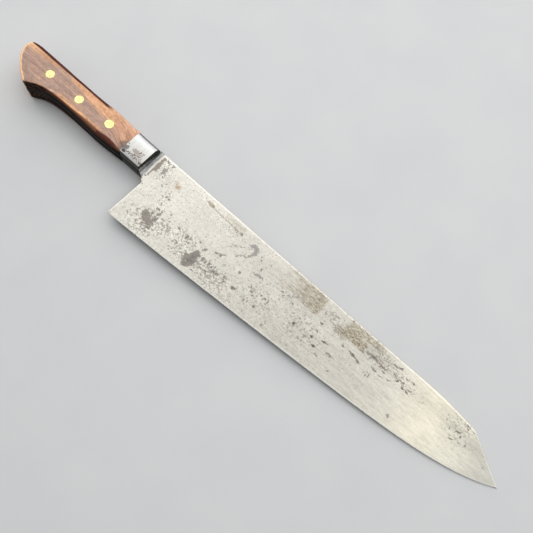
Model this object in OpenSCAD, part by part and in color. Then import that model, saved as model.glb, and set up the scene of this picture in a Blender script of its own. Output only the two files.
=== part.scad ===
// Chef knife: a gyuto with a clipped point, a full tang and a riveted wooden handle.
// Millimetres. +X runs from the butt to the tip, +Y from the cutting edge to the spine,
// and +Z out of the right cheek of the handle. The knife lies flat on its left cheek.
// Shapes are drawn with the heel's corner at the origin and the blade's middle plane at Z = 0,
// then place() moves them so that the origin is under the middle of the whole knife.

/* [Blade] */
// Blade length, from the heel's corner to the tip
blade_len = 300; // [270:1:330]
// Blade height at the heel
blade_h = 56.4; // [54:0.2:60]
// Height of the tip above the heel's corner
tip_y = 34.8; // [30:0.2:38]
// How much of the tip's height is a straight rise from the heel
edge_rise = 22.4; // [18:0.2:26]
// Length of the clipped point, from the spine's corner to the tip
clip_len = 29; // [20:0.5:40]
// How far the spine has dropped at the clipped point's corner
clip_drop = 3.2; // [2:0.1:5]
// Length over which the spine curves down to that corner
spine_curve_len = 42; // [30:1:60]
// Spine thickness at the heel
spine_t = 3; // [2.6:0.1:3.6]
// Spine thickness at the clipped point's corner
clip_t = 1.5; // [1.2:0.1:2]
// Thickness at the top of the sharpened bevel
edge_t = 0.4; // [0.3:0.05:0.6]
// Height of the sharpened bevel
bevel_h = 1.1; // [0.6:0.1:2]
// How far the heel's face leans towards the tip by the time it meets the neck
heel_lean = 0.9; // [0:0.1:2]

/* [Neck] */
// Length of the thick neck in front of the bolster
neck_len = 5.4; // [4:0.1:7]
// Thickness of the neck where it meets the bolster
neck_t = 4.6; // [3.8:0.1:6]
// Height of the neck's lower corner, where it meets the heel's face
choil_y = 32.2; // [31:0.1:33]

/* [Bolster] */
// Length of the bolster
bolster_len = 18.3; // [14:0.1:24]
// Thickness over both bolster halves
bolster_t = 16.4; // [14:0.2:18]
// Height of the bolster's lower face above the heel's corner
bolster_low = 34.9; // [34:0.1:36]
// Height of the bolster's upper face above the heel's corner
bolster_high = 55.6; // [55:0.1:56]
// Radius of the bolster's upper edges
bolster_round = 5.5; // [3:0.1:6.5]
// Radius of the bolster's lower edges
bolster_ease = 0.8; // [0.4:0.1:1.5]

/* [Handle] */
// Thickness over both scales along the grip
handle_t = 20.5; // [18:0.1:23]
// Distance from the bolster to the place where the scales reach full thickness
swell_len = 28.7; // [22:0.1:34]
// Radius of the handle's upper edges along the grip
spine_round = 2.4; // [1.5:0.1:3]
// Radius of the handle's upper edges at the bolster
spine_round_front = 4.6; // [3:0.1:5.5]
// Radius of the butt's edges and of the lower edges near it
belly_round = 1.3; // [0.8:0.1:2]
// Radius of the lower edges under the front rivet
belly_round_front = 3.9; // [2:0.1:4.5]

/* [Rivets] */
// Diameter of the rivet heads
rivet_d = 6.7; // [5.5:0.1:8]
// Thickness of the rivet heads
rivet_head_t = 2.2; // [1.5:0.1:3]
// Outer diameter of the hollow half of a rivet
rivet_tube_d = 4.6; // [4:0.1:5]
// Diameter of the solid pin that is pressed into the hollow half
rivet_pin_d = 3; // [2.4:0.1:3.4]
// Distance from the back of the bolster to the front rivet
rivet_front = 18.6; // [17:0.1:21]
// Distance from the front rivet to the middle one
rivet_gap_front = 28.3; // [27:0.1:30]
// Distance from the middle rivet to the rear one
rivet_gap_rear = 29.2; // [27:0.1:30]
// Height of the middle and rear rivets above the heel's corner
rivet_y = 43.1; // [42:0.1:45]
// How much higher the front rivet sits than the others
rivet_front_rise = 1.1; // [0:0.1:1.5]

/* [Hidden] */
$fn = 64;

steel = "gainsboro";
bolster_steel = "silver";
rosewood = "saddlebrown";
brass = "khaki";

// Stations along the handle, measured from the heel's corner
bolster_front_x = -neck_len;
bolster_back_x = bolster_front_x - bolster_len;
swell_x = bolster_back_x - swell_len;

// The handle's outline in the middle plane: a few points each, joined by smooth curves
belly_points = [
    [bolster_back_x, 34.5], [-34, 33.6], [-46, 33.1], [-60, 33.6], [-72, 33.9],
    [-84, 33.6], [-94, 32.5], [-101, 30.7], [-105.5, 28.4], [-109.4, 26.2]
];
butt_points = [
    [-109.4, 26.2], [-116.8, 30.6], [-122.6, 35.2], [-127.2, 40.2],
    [-129.6, 44.7], [-130.3, 48], [-129.9, 50.8], [-128.6, 52.9]
];
spine_points = [
    [bolster_back_x, 55.6], [-42, 55.4], [-60, 54.6], [-84, 54.6], [-100, 54.8],
    [-114, 54.9], [-122, 54.9], [-126.6, 54.3]
];
belly_steps = 34;
butt_steps = 18;
outline_steps = belly_steps + butt_steps;
round_steps = 5;

// Sections along the blade
blade_sections = 44;
tip_height = 0.3;
edge_half = 0.03;
face_power = 1.8;
tip_sharpness = 10;
edge_power = 1.2;
clip_x = blade_len - clip_len;
clip_y = blade_h - clip_drop;
spine_bend = 2;

// Rivets: positions, and the steps inside them
rivet_front_x = bolster_back_x - rivet_front;
rivet_x = [
    rivet_front_x,
    rivet_front_x - rivet_gap_front,
    rivet_front_x - rivet_gap_front - rivet_gap_rear
];
rivet_ys = [rivet_y + rivet_front_rise, rivet_y, rivet_y];
tang_hole_gap = 0.2;
pin_end_gap = 0.3;
pin_len_below = 6;
through = 60;
overlap = 1;

// A smooth step from 0 to 1
function smooth(t) = let (c = min(1, max(0, t))) c * c * (3 - 2 * c);
function mix(a, b, t) = a + (b - a) * t;

// A point on the smooth curve through a list of points, with u from 0 to 1
function curve_part(a, b, c, d, t) =
    0.5 * (2 * b + (c - a) * t + (2 * a - 5 * b + 4 * c - d) * t * t + (3 * b - a - 3 * c + d) * t * t * t);
function curve(points, u) =
    let (last = len(points) - 1, i = min(last - 1, floor(u * last)))
    curve_part(
        points[max(0, i - 1)], points[i], points[i + 1], points[min(last, i + 2)],
        u * last - i
    );

// The outline's lower side and butt, and its upper side, from the bolster to the butt
function lower_side() = concat(
    [for (i = [0:belly_steps]) curve(belly_points, i / belly_steps)],
    [for (i = [1:butt_steps]) curve(butt_points, i / butt_steps)]
);
function upper_side() = [for (i = [0:outline_steps]) curve(spine_points, i / outline_steps)];
function reversed(list) = [for (i = [len(list) - 1:-1:0]) list[i]];
outline = concat(lower_side(), reversed(upper_side()));
outline_count = len(outline);

// The knife's extreme points, which set where the origin is
butt_x = min([for (p = outline) p[0]]);
middle_x = (butt_x + blade_len) / 2;
middle_y = blade_h / 2;

// Half the handle's thickness at x, and how fast it grows towards the butt
function handle_half(x) =
    mix(bolster_t, handle_t, smooth((bolster_back_x - x) / swell_len)) / 2;
function handle_slope(x) = (handle_half(x + 0.5) - handle_half(x - 0.5));

// Edge radii along the handle
function hump(t) = abs(t) < 1 ? pow(cos(90 * t), 2) : 0;
function upper_radius(x) = mix(spine_round, spine_round_front, smooth((x - swell_x) / swell_len));
function lower_radius(x) = mix(belly_round, belly_round_front, hump((x + 43) / 30));
function edge_radius(i) =
    let (x = outline[i][0])
    i <= belly_steps ? lower_radius(x) : i <= outline_steps ? belly_round : upper_radius(x);

// The direction into the wood at point i of the outline, square to the curve
function inward(i) =
    i == 0 ? [0, 1] :
    i == outline_count - 1 ? [0, -1] :
    let (d = outline[i + 1] - outline[i - 1]) [d[1], -d[0]] / norm(d);

// The corner where two radii meet is blended over a few points
function blended_radius(i) =
    let (a = max(0, i - 1), b = min(outline_count - 1, i + 1))
    (edge_radius(a) + 2 * edge_radius(i) + edge_radius(b)) / 4;

// A solid skinned over rings of points. Point i of a ring faces point count - 1 - i.
module skin(rings) {
    count = len(rings[0]);
    last = len(rings) - 1;
    half = count / 2;
    points = [for (ring = rings) each ring];
    walls = [
        for (k = [0:last - 1], i = [0:count - 1])
        let (j = (i + 1) % count, a = k * count, b = a + count)
        each [[a + i, a + j, b + j], [a + i, b + j, b + i]]
    ];
    first_cap = [
        for (i = [0:half - 2])
        let (m = count - 1 - i)
        each [[i, m - 1, i + 1], [i, m, m - 1]]
    ];
    last_cap = [
        for (i = [0:half - 2])
        let (m = count - 1 - i, a = last * count)
        each [[a + i, a + i + 1, a + m - 1], [a + i, a + m - 1, a + m]]
    ];
    polyhedron(points, [for (f = concat(walls, first_cap, last_cap)) reversed(f)]);
}

// Moves a shape from the drawing position to the part's frame
module place() {
    translate([-middle_x, -middle_y, handle_t / 2]) children();
}

// Turns a shape on the right side of the blade into one on the left side
module on_side(side) {
    mirror([0, 0, side < 0 ? 1 : 0]) children();
}

// Blade

function edge_y(x) =
    let (u = max(0, x) / blade_len)
    edge_rise * pow(u, edge_power) + (tip_y - edge_rise) * pow(u, tip_sharpness);
function spine_y(x) =
    x > clip_x
    ? max(edge_y(x) + tip_height, mix(clip_y, tip_y, (x - clip_x) / clip_len))
    : blade_h - clip_drop * pow(max(0, (x - clip_x) / spine_curve_len + 1), spine_bend);
function spine_half(x) =
    (x > clip_x ? mix(clip_t, edge_t, (x - clip_x) / clip_len) : mix(spine_t, clip_t, x / clip_x)) / 2;

// One side of the blade's section at x, from the spine down to the edge: each is [y, z]
function blade_side(x) =
    let (
        high = spine_y(x), low = edge_y(x), tall = high - low,
        t = min(spine_half(x), tall / 2), ease = min(0.5, tall / 4, t / 2),
        bevel = min(bevel_h, tall / 3), thin = min(edge_t / 2, t)
    )
    concat(
        [[high, t - ease], [high - ease, t - ease / 8]],
        [
            for (v = [0.15, 0.3, 0.45, 0.6, 0.75, 0.88, 1])
            [mix(high, low + bevel, v), mix(t, thin, pow(v, face_power))]
        ],
        [[low, min(edge_half, thin / 2)]]
    );

// The heel's face leans towards the tip, and the lean dies out along the blade
function lean(x, y) = heel_lean * min(1, y / choil_y) * smooth(1 - x / 30);

function blade_ring(x) =
    let (side = blade_side(x))
    concat(
        [for (p = side) [x + lean(x, p[0]), p[0], p[1]]],
        [for (p = reversed(side)) [x + lean(x, p[0]), p[0], -p[1]]]
    );

// Sections are closer together in the clipped point
function section_x(i) =
    let (before = 30, after = blade_sections - before)
    i <= before ? clip_x * i / before : clip_x + clip_len * (i - before) / after;

module blade_body() {
    skin([for (i = [0:blade_sections]) blade_ring(section_x(i))]);
}

module neck() {
    root_x = heel_lean + 2;
    intersection() {
        translate([0, 0, -through / 2]) linear_extrude(through) polygon([
            [bolster_front_x, bolster_low], [-1.6, choil_y + 1.2], [0.2, choil_y + 0.2],
            [root_x, choil_y], [root_x, blade_h - 0.1], [bolster_front_x, blade_h - 0.2]
        ]);
        rotate([90, 0, 0]) translate([0, 0, -through - blade_h]) linear_extrude(2 * through + blade_h)
            polygon([
                [bolster_front_x, neck_t / 2], [-2.6, neck_t / 2 - 0.2], [-0.8, spine_t / 2 + 0.1],
                [root_x, spine_t / 2 - 0.35], [root_x, 0.35 - spine_t / 2],
                [-0.8, -spine_t / 2 - 0.1], [-2.6, 0.2 - neck_t / 2], [bolster_front_x, -neck_t / 2]
            ]);
    }
}

module tang() {
    front_x = bolster_front_x + overlap;
    difference() {
        translate([0, 0, -spine_t / 2]) linear_extrude(spine_t) union() {
            polygon(outline);
            polygon([
                [bolster_back_x - overlap, bolster_low], [front_x, bolster_low],
                [front_x, bolster_high], [bolster_back_x - overlap, bolster_high]
            ]);
        }
        for (i = [0:2]) {
            translate([rivet_x[i], rivet_ys[i], -through / 2])
                cylinder(d = rivet_tube_d + tang_hole_gap, h = through);
        }
    }
}

module blade() {
    color(steel) place() union() {
        blade_body();
        neck();
        tang();
    }
}

// Bolster: two halves welded to the tang

module bolster_profile() {
    low = bolster_low;
    high = bolster_high;
    top = bolster_t / 2;
    inner = spine_t / 2;
    translate([low, inner]) square([high - low - bolster_round, top - inner - bolster_ease]);
    translate([low + bolster_ease, inner])
        square([high - low - bolster_round - bolster_ease, top - inner]);
    translate([low, inner]) square([high - low, top - inner - bolster_round]);
    translate([low + bolster_ease, top - bolster_ease]) circle(r = bolster_ease);
    translate([high - bolster_round, top - bolster_round]) intersection() {
        circle(r = bolster_round);
        square(bolster_round);
    }
}

module bolster(side) {
    color(bolster_steel) place() on_side(side)
        translate([bolster_back_x, 0, 0])
        rotate([90, 0, 90]) linear_extrude(bolster_len) bolster_profile();
}

module bolster_right() { bolster(1); }
module bolster_left() { bolster(-1); }

// Scales: two slabs of wood, rounded along their outer edges

// The outline at one step round the outer edge, where turn runs from 0 to 90 degrees
function scale_ring(turn) = [
    for (i = [0:outline_count - 1])
    let (r = blended_radius(i), p = outline[i] + inward(i) * r * (1 - cos(turn)))
    [p[0], p[1], handle_half(p[0]) - r * (1 - sin(turn))]
];
function scale_inner_ring() = [for (p = outline) [p[0], p[1], spine_t / 2]];

module scale_slab() {
    skin(concat(
        [scale_inner_ring()],
        [for (k = [0:round_steps]) scale_ring(90 * k / round_steps)]
    ));
}

module scale_half(side) {
    color(rosewood) place() on_side(side) difference() {
        scale_slab();
        for (i = [0:2]) {
            translate([rivet_x[i], rivet_ys[i], 0]) {
                cylinder(d = rivet_tube_d, h = through);
                translate([0, 0, head_floor(i)]) cylinder(d = rivet_d, h = through);
            }
        }
    }
}

module scale_right() { scale_half(1); }
module scale_left() { scale_half(-1); }

// Rivets: a male half with a pin on the right, pressed into a female half on the left

function head_floor(i) = handle_half(rivet_x[i]) - rivet_head_t;

// A head, ground off flush with the cheek of the handle
module rivet_head(i) {
    top = handle_half(rivet_x[i]);
    tilt = atan(handle_slope(rivet_x[i]));
    intersection() {
        translate([0, 0, head_floor(i)]) cylinder(d = rivet_d, h = 2 * rivet_head_t);
        translate([0, 0, top]) rotate([0, -tilt, 0]) translate([-rivet_d, -rivet_d, -2 * rivet_d])
            cube(2 * rivet_d);
    }
}

module rivet_male(i) {
    color(brass) place() translate([rivet_x[i], rivet_ys[i], 0]) union() {
        rivet_head(i);
        translate([0, 0, -pin_len_below])
            cylinder(d = rivet_pin_d, h = pin_len_below + head_floor(i) + overlap);
    }
}

module rivet_female(i) {
    color(brass) place() translate([rivet_x[i], rivet_ys[i], 0]) difference() {
        union() {
            on_side(-1) rivet_head(i);
            translate([0, 0, -head_floor(i) - overlap])
                cylinder(d = rivet_tube_d, h = 2 * head_floor(i) + overlap);
        }
        translate([0, 0, -pin_len_below - pin_end_gap]) cylinder(d = rivet_pin_d, h = through);
    }
}

module rivet_front_male() { rivet_male(0); }
module rivet_front_female() { rivet_female(0); }
module rivet_middle_male() { rivet_male(1); }
module rivet_middle_female() { rivet_female(1); }
module rivet_rear_male() { rivet_male(2); }
module rivet_rear_female() { rivet_female(2); }

blade();
bolster_right();
bolster_left();
scale_right();
scale_left();
rivet_rear_male();
rivet_rear_female();
rivet_middle_male();
rivet_middle_female();
rivet_front_male();
rivet_front_female();
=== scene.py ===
"""A chef knife with a clipped point, a steel bolster and a riveted rosewood handle.

Shapes are drawn in millimetres in the knife's own frame: the heel's corner is at (0, 0, 0), +X runs to the
tip, +Y to the spine and +Z out of the right cheek of the handle. at() turns such a point into the part's
frame. Every CAD node is replaced by a finer piece of the same size, whose name ends in _finished.
"""

import math

import bmesh
import bpy
from mathutils import Matrix, Vector, noise


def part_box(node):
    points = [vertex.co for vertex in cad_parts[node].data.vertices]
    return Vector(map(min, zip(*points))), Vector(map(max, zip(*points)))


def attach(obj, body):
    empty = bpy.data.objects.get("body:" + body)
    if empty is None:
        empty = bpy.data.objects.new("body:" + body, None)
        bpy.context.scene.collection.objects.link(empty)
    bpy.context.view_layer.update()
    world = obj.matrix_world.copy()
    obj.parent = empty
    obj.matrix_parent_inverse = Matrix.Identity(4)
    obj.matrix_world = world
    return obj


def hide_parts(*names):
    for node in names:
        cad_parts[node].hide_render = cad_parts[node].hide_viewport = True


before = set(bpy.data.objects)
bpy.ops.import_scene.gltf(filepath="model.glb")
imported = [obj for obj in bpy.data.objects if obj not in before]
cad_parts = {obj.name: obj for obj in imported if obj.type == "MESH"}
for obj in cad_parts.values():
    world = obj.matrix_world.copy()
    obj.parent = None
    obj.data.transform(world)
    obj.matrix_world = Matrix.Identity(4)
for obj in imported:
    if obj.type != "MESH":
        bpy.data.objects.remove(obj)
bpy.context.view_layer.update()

# ---------------------------------------------------------------- Sizes

MM = 0.001
BLADE_LEN = 300

blade_low, blade_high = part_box("blade")
heel_corner = Vector((
    blade_high.x - BLADE_LEN * MM,
    blade_low.y,
    (blade_low.z + blade_high.z) / 2,
))


def at(x, y, z):
    """A point drawn in mm, as a point in the part's frame in metres."""
    return heel_corner + Vector((x, y, z)) * MM


def box_mm(node):
    """The lowest and highest corner of a CAD node, in drawing millimetres."""
    low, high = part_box(node)
    return (low - heel_corner) / MM, (high - heel_corner) / MM


# Blade
BLADE_H = box_mm("blade")[1].y
TIP_Y = 34.8
EDGE_RISE = 22.4
EDGE_POWER = 1.2
TIP_SHARPNESS = 10
CLIP_LEN = 29
CLIP_DROP = 3.2
CLIP_X = BLADE_LEN - CLIP_LEN
SPINE_CURVE_LEN = 42
SPINE_T = 3.0
CLIP_T = 1.5
EDGE_T = 0.4
EDGE_HALF = 0.03
BEVEL_H = 1.1
FACE_POWER = 1.8
TIP_HEIGHT = 0.3
SPINE_EASE = 0.5
HEEL_LEAN = 0.028
LEAN_LEN = 30

# Neck, and the inside corner between it and the heel's face
NECK_T = 2 * box_mm("blade")[1].z
NECK_LOW_Y = 34.85
NECK_TOP_DROP = 0.2
CHOIL = Vector((0.894, 31.93))
CHOIL_RADIUS = 1.2
NECK_EASE = 0.35

# Bolster
BOLSTER_LOW, BOLSTER_HIGH = box_mm("bolster_right")
BOLSTER_BACK_X = BOLSTER_LOW.x
BOLSTER_FRONT_X = BOLSTER_HIGH.x
BOLSTER_TOP = BOLSTER_HIGH.z
BOLSTER_ROUND = 5.5
BOLSTER_EASE = 0.8
BOLSTER_FRONT_EASE = 0.4

# Handle
HANDLE_TOP = box_mm("scale_right")[1].z
TANG_HALF = SPINE_T / 2
SWELL_LEN = 28.7
SPINE_ROUND = 2.4
SPINE_ROUND_FRONT = 4.6
BELLY_ROUND = 1.3
BELLY_ROUND_FRONT = 3.9
BUTT_X = box_mm("blade")[0].x
BELLY_POINTS = [
    (BOLSTER_BACK_X, 34.5), (-34, 33.6), (-46, 33.1), (-60, 33.6), (-72, 33.9),
    (-84, 33.6), (-94, 32.5), (-101, 30.7), (-105.5, 28.4), (-109.4, 26.2),
]
BUTT_POINTS = [
    (-109.4, 26.2), (-116.8, 30.6), (-122.6, 35.2), (-127.2, 40.2),
    (-129.6, 44.7), (-130.3, 48), (-129.9, 50.8), (-128.6, 52.9),
]
SPINE_POINTS = [
    (BOLSTER_BACK_X, 55.6), (-42, 55.4), (-60, 54.6), (-84, 54.6), (-100, 54.8),
    (-114, 54.9), (-122, 54.9), (-126.6, 54.3),
]

# Rivets
RIVET_PLACES = ("front", "middle", "rear")
RIVET_HEAD_T = 2.2
RIVET_TUBE_R = 2.3
RIVET_PIN_R = 1.5
RIVET_PIN_END = 6.0
RIVET_PIN_BEVEL = 0.2
RIVET_PIN_PLAY = 0.02
RIVET_BORE_PAST_PIN = 0.3
RIVET_STEPS = 96


def rivet_centre(place):
    low, high = box_mm(f"rivet_{place}_male")
    return (low.x + high.x) / 2, (low.y + high.y) / 2


RIVET_R = (box_mm("rivet_rear_male")[1].x - box_mm("rivet_rear_male")[0].x) / 2


# ---------------------------------------------------------------- Curves and rules


def mix(a, b, t):
    return a + (b - a) * t


def clamp(t):
    return min(1.0, max(0.0, t))


def smooth(t):
    t = clamp(t)
    return t * t * (3 - 2 * t)


def curve_part(a, b, c, d, t):
    """The stretch from b to c of a smooth curve through a, b, c and d."""
    return tuple(
        0.5 * (
            2 * q + (r - p) * t + (2 * p - 5 * q + 4 * r - s) * t * t
            + (3 * q - p - 3 * r + s) * t ** 3
        )
        for p, q, r, s in zip(a, b, c, d)
    )


def curve(points, u):
    """A point on the smooth curve through a list of points, with u from 0 to 1."""
    last = len(points) - 1
    i = min(last - 1, int(u * last))
    before = points[max(0, i - 1)]
    after = points[min(last, i + 2)]
    return curve_part(before, points[i], points[i + 1], after, u * last - i)


def rounding(radius, steps):
    """How far a quarter round has gone in and how far it still is from the top, step by step."""
    for k in range(steps + 1):
        turn = math.radians(90 * k / steps)
        yield radius * (1 - math.cos(turn)), radius * (1 - math.sin(turn))


def ripple(x, y, z, size):
    """Smooth noise between about -1 and 1, with waves of roughly this size in mm."""
    return noise.noise(Vector((x, y, z)) / size)


# ---------------------------------------------------------------- Mesh building


# Edges bent by more than these degrees stay crisp. Points nearer than WELD mm become one, and edges
# shorter than SLIVER mm go.
SHARP_DEGREES = 35
LATHE_SHARP_DEGREES = 40
WELD = 0.002
SLIVER = 0.0005


class Skin:
    """Collects points, in mm, and the faces between them."""

    def __init__(self):
        self.points = []
        self.faces = []

    def add(self, points):
        start = len(self.points)
        self.points.extend(points)
        return list(range(start, len(self.points)))

    def strip(self, a, b):
        """Faces between two rows of the same length."""
        for i in range(len(a) - 1):
            self.faces.append((a[i], a[i + 1], b[i + 1], b[i]))

    def ring_strip(self, a, b):
        """Faces between two closed rings of the same length."""
        self.strip(a + a[:1], b + b[:1])

    def cap(self, ring):
        self.faces.append(tuple(ring))


def finish_mesh(mesh, sharp_degrees):
    """Welds the rows that meet, turns every face outwards and shades all but the crisp edges smooth."""
    work = bmesh.new()
    work.from_mesh(mesh)
    bmesh.ops.remove_doubles(work, verts=work.verts, dist=WELD * MM)
    bmesh.ops.dissolve_degenerate(work, edges=work.edges, dist=SLIVER * MM)
    bmesh.ops.recalc_face_normals(work, faces=work.faces)
    for face in work.faces:
        face.smooth = True
    work.to_mesh(mesh)
    work.free()
    mesh.set_sharp_from_angle(angle=math.radians(sharp_degrees))


def new_object(name, skin, sharp_degrees=SHARP_DEGREES):
    mesh = bpy.data.meshes.new(name)
    mesh.from_pydata([at(*p) for p in skin.points], [], skin.faces)
    finish_mesh(mesh, sharp_degrees)
    made = bpy.data.objects.new(name, mesh)
    bpy.context.scene.collection.objects.link(made)
    return made


def add_piece(node, made, material):
    """Makes a finished object a piece of the knife that stands for a CAD node."""
    made.name = node + "_finished"
    made.data.name = made.name
    made.data.materials.clear()
    made.data.materials.append(material)
    weighted = made.modifiers.new("weighted normals", "WEIGHTED_NORMAL")
    weighted.keep_sharp = True
    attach(made, "root")
    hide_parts(node)


def cut(made, cutters):
    """Cuts each cutter out of the object, and applies it to the mesh."""
    for cutter in cutters:
        tool = made.modifiers.new("cut", "BOOLEAN")
        tool.operation = "DIFFERENCE"
        tool.solver = "EXACT"
        tool.object = cutter
    bpy.context.view_layer.update()
    graph = bpy.context.evaluated_depsgraph_get()
    mesh = bpy.data.meshes.new_from_object(made.evaluated_get(graph))
    made.modifiers.clear()
    made.data = mesh
    for cutter in cutters:
        bpy.data.objects.remove(cutter)
    mesh.set_sharp_from_angle(angle=math.radians(SHARP_DEGREES))


def lathe(name, centre, profile, steps=64, lift=None):
    """Turns a profile of (radius, z) points round a vertical axis. lift(x, y, z) raises a point."""
    skin = Skin()
    rows = []
    for radius, z in profile:
        row = []
        for k in range(steps):
            turn = math.tau * k / steps
            x = centre[0] + radius * math.cos(turn)
            y = centre[1] + radius * math.sin(turn)
            row.append((x, y, z + (lift(x, y, z) if lift else 0)))
        rows.append(skin.add(row))
    for a, b in zip(rows, rows[1:]):
        skin.ring_strip(a, b)
    skin.cap(rows[0])
    skin.cap(rows[-1])
    return new_object(name, skin, LATHE_SHARP_DEGREES)


# ---------------------------------------------------------------- Blade


def edge_y(x):
    u = max(0, x) / BLADE_LEN
    return EDGE_RISE * u ** EDGE_POWER + (TIP_Y - EDGE_RISE) * u ** TIP_SHARPNESS


def spine_y(x):
    if x > CLIP_X:
        line = mix(BLADE_H - CLIP_DROP, TIP_Y, (x - CLIP_X) / CLIP_LEN)
        return max(edge_y(x) + TIP_HEIGHT, line)
    return BLADE_H - CLIP_DROP * max(0, (x - CLIP_X) / SPINE_CURVE_LEN + 1) ** 2


def spine_half(x):
    if x > CLIP_X:
        return mix(CLIP_T, EDGE_T, (x - CLIP_X) / CLIP_LEN) / 2
    return mix(SPINE_T, CLIP_T, max(0, x) / CLIP_X) / 2


# The inside corner: a circle that touches the neck's lower line and the heel's face
heel_up = Vector((HEEL_LEAN, 1)).normalized()
neck_back = (Vector((BOLSTER_FRONT_X, NECK_LOW_Y)) - CHOIL).normalized()
CHOIL_ANGLE = heel_up.angle(-neck_back)
CHOIL_REACH = CHOIL_RADIUS * math.tan(CHOIL_ANGLE / 2)
CHOIL_NECK = CHOIL + neck_back * CHOIL_REACH
CHOIL_HEEL = CHOIL - heel_up * CHOIL_REACH
CHOIL_CENTRE = CHOIL_HEEL + Vector((-heel_up.y, heel_up.x)) * CHOIL_RADIUS
CHOIL_MIDDLE = CHOIL_CENTRE + (CHOIL - CHOIL_CENTRE).normalized() * CHOIL_RADIUS


def heel_x(y):
    """The heel's face, from the corner up to the middle of the inside corner, and then straight up."""
    y = min(y, CHOIL_MIDDLE.y)
    if y < CHOIL_HEEL.y:
        return HEEL_LEAN * y
    return CHOIL_CENTRE.x + math.sqrt(max(0, CHOIL_RADIUS ** 2 - (y - CHOIL_CENTRE.y) ** 2))


def neck_low_y(x):
    if x > CHOIL_NECK.x:
        return CHOIL_CENTRE.y + math.sqrt(max(0, CHOIL_RADIUS ** 2 - (x - CHOIL_CENTRE.x) ** 2))
    return mix(NECK_LOW_Y, CHOIL_NECK.y, (x - BOLSTER_FRONT_X) / (CHOIL_NECK.x - BOLSTER_FRONT_X))


# Rows down the blade's side. The rows above the choil run on into the neck and the tang.
EASE_STEPS = 4
CLOSE_ROWS = [0.984, 0.9885, 0.994, 0.9977, 1.0]
ROWS_ABOVE = [k * 0.97 / 15 for k in range(16)] + CLOSE_ROWS
CHOIL_SHARE = (BLADE_H - CHOIL_MIDDLE.y) / (BLADE_H - BEVEL_H)
ROWS_BELOW = [mix(CHOIL_SHARE, 1, (k + 1) / 26) for k in range(26)]
NECK_COUNT = EASE_STEPS + 1 + len(ROWS_ABOVE)


def eased(half, distance, radius):
    """The half thickness near an edge that is rounded over by this radius."""
    radius = min(radius, half * 0.6)
    if distance >= radius:
        return half
    return half - radius + math.sqrt(max(0, radius ** 2 - (radius - distance) ** 2))


def body_column(x):
    """The right side of the blade at one station, from the spine down to the edge."""
    high = spine_y(x)
    low = edge_y(x)
    tall = high - low
    half = min(spine_half(x), tall / 2)
    ease = min(SPINE_EASE, tall / 4, half / 2)
    bevel = min(BEVEL_H, tall / 3)
    thin = min(EDGE_T / 2, half)
    lean = smooth(1 - x / LEAN_LEN)
    column = []
    for inset, drop in rounding(ease, EASE_STEPS):
        column.append([high - inset, half - drop])
    first = ease / (tall - bevel)
    for share in [s * CHOIL_SHARE for s in ROWS_ABOVE] + ROWS_BELOW:
        v = mix(first, 1, share)
        column.append([mix(high, low + bevel, v), mix(half, thin, v ** FACE_POWER)])
    column.append([low + bevel / 2, mix(thin, EDGE_HALF, 0.46)])
    column.append([low, min(EDGE_HALF, thin / 2)])
    points = []
    choil_row_y = column[NECK_COUNT - 1][0]
    for y, z in column:
        if x < LEAN_LEN:
            distance = math.hypot(x, max(0, y - choil_row_y))
            z = eased(blended_half(x + heel_x(y) * lean, z), distance, NECK_EASE)
        points.append((x + heel_x(y) * lean, y, z))
    return points


NECK_BLEND_START = -1.2
NECK_BLEND_LEN = 4.6


def neck_half(x):
    """Half the neck's thickness: flat by the bolster, then a hollow down to the blade's face."""
    return mix(NECK_T / 2, TANG_HALF, smooth((x - BOLSTER_FRONT_X - 0.6) / 5.2))


def blended_half(x, face_half):
    return mix(neck_half(x), face_half, smooth((x - NECK_BLEND_START) / NECK_BLEND_LEN))


def neck_column(x):
    high = BLADE_H - NECK_TOP_DROP * smooth(x / BOLSTER_FRONT_X)
    low = neck_low_y(x)
    face = SPINE_T / 2
    column = []
    for inset, drop in rounding(SPINE_EASE, EASE_STEPS):
        column.append((x, high - inset, blended_half(x, face) - drop))
    for share in ROWS_ABOVE:
        y = mix(high - SPINE_EASE, low, share)
        v = (BLADE_H - y) / (BLADE_H - BEVEL_H)
        face = mix(SPINE_T / 2, EDGE_T / 2, v ** FACE_POWER)
        column.append((x, y, eased(blended_half(x, face), y - low, NECK_EASE)))
    return column


def tang_column(upper, lower):
    column = []
    for k in range(NECK_COUNT):
        share = k / (NECK_COUNT - 1)
        column.append((mix(upper[0], lower[0], share), mix(upper[1], lower[1], share), TANG_HALF))
    return column


def blade_stations():
    """Stations from the tip to the heel, close together where the outline turns."""
    near_heel = [0, 0.04, 0.1, 0.2, 0.35, 0.6, 1, 1.5, 2]
    body = [2 + (CLIP_X - 2) * k / 160 for k in range(1, 161)]
    clip = [CLIP_X + CLIP_LEN * k / 40 for k in range(1, 41)]
    return list(reversed(near_heel + body + clip))


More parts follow.
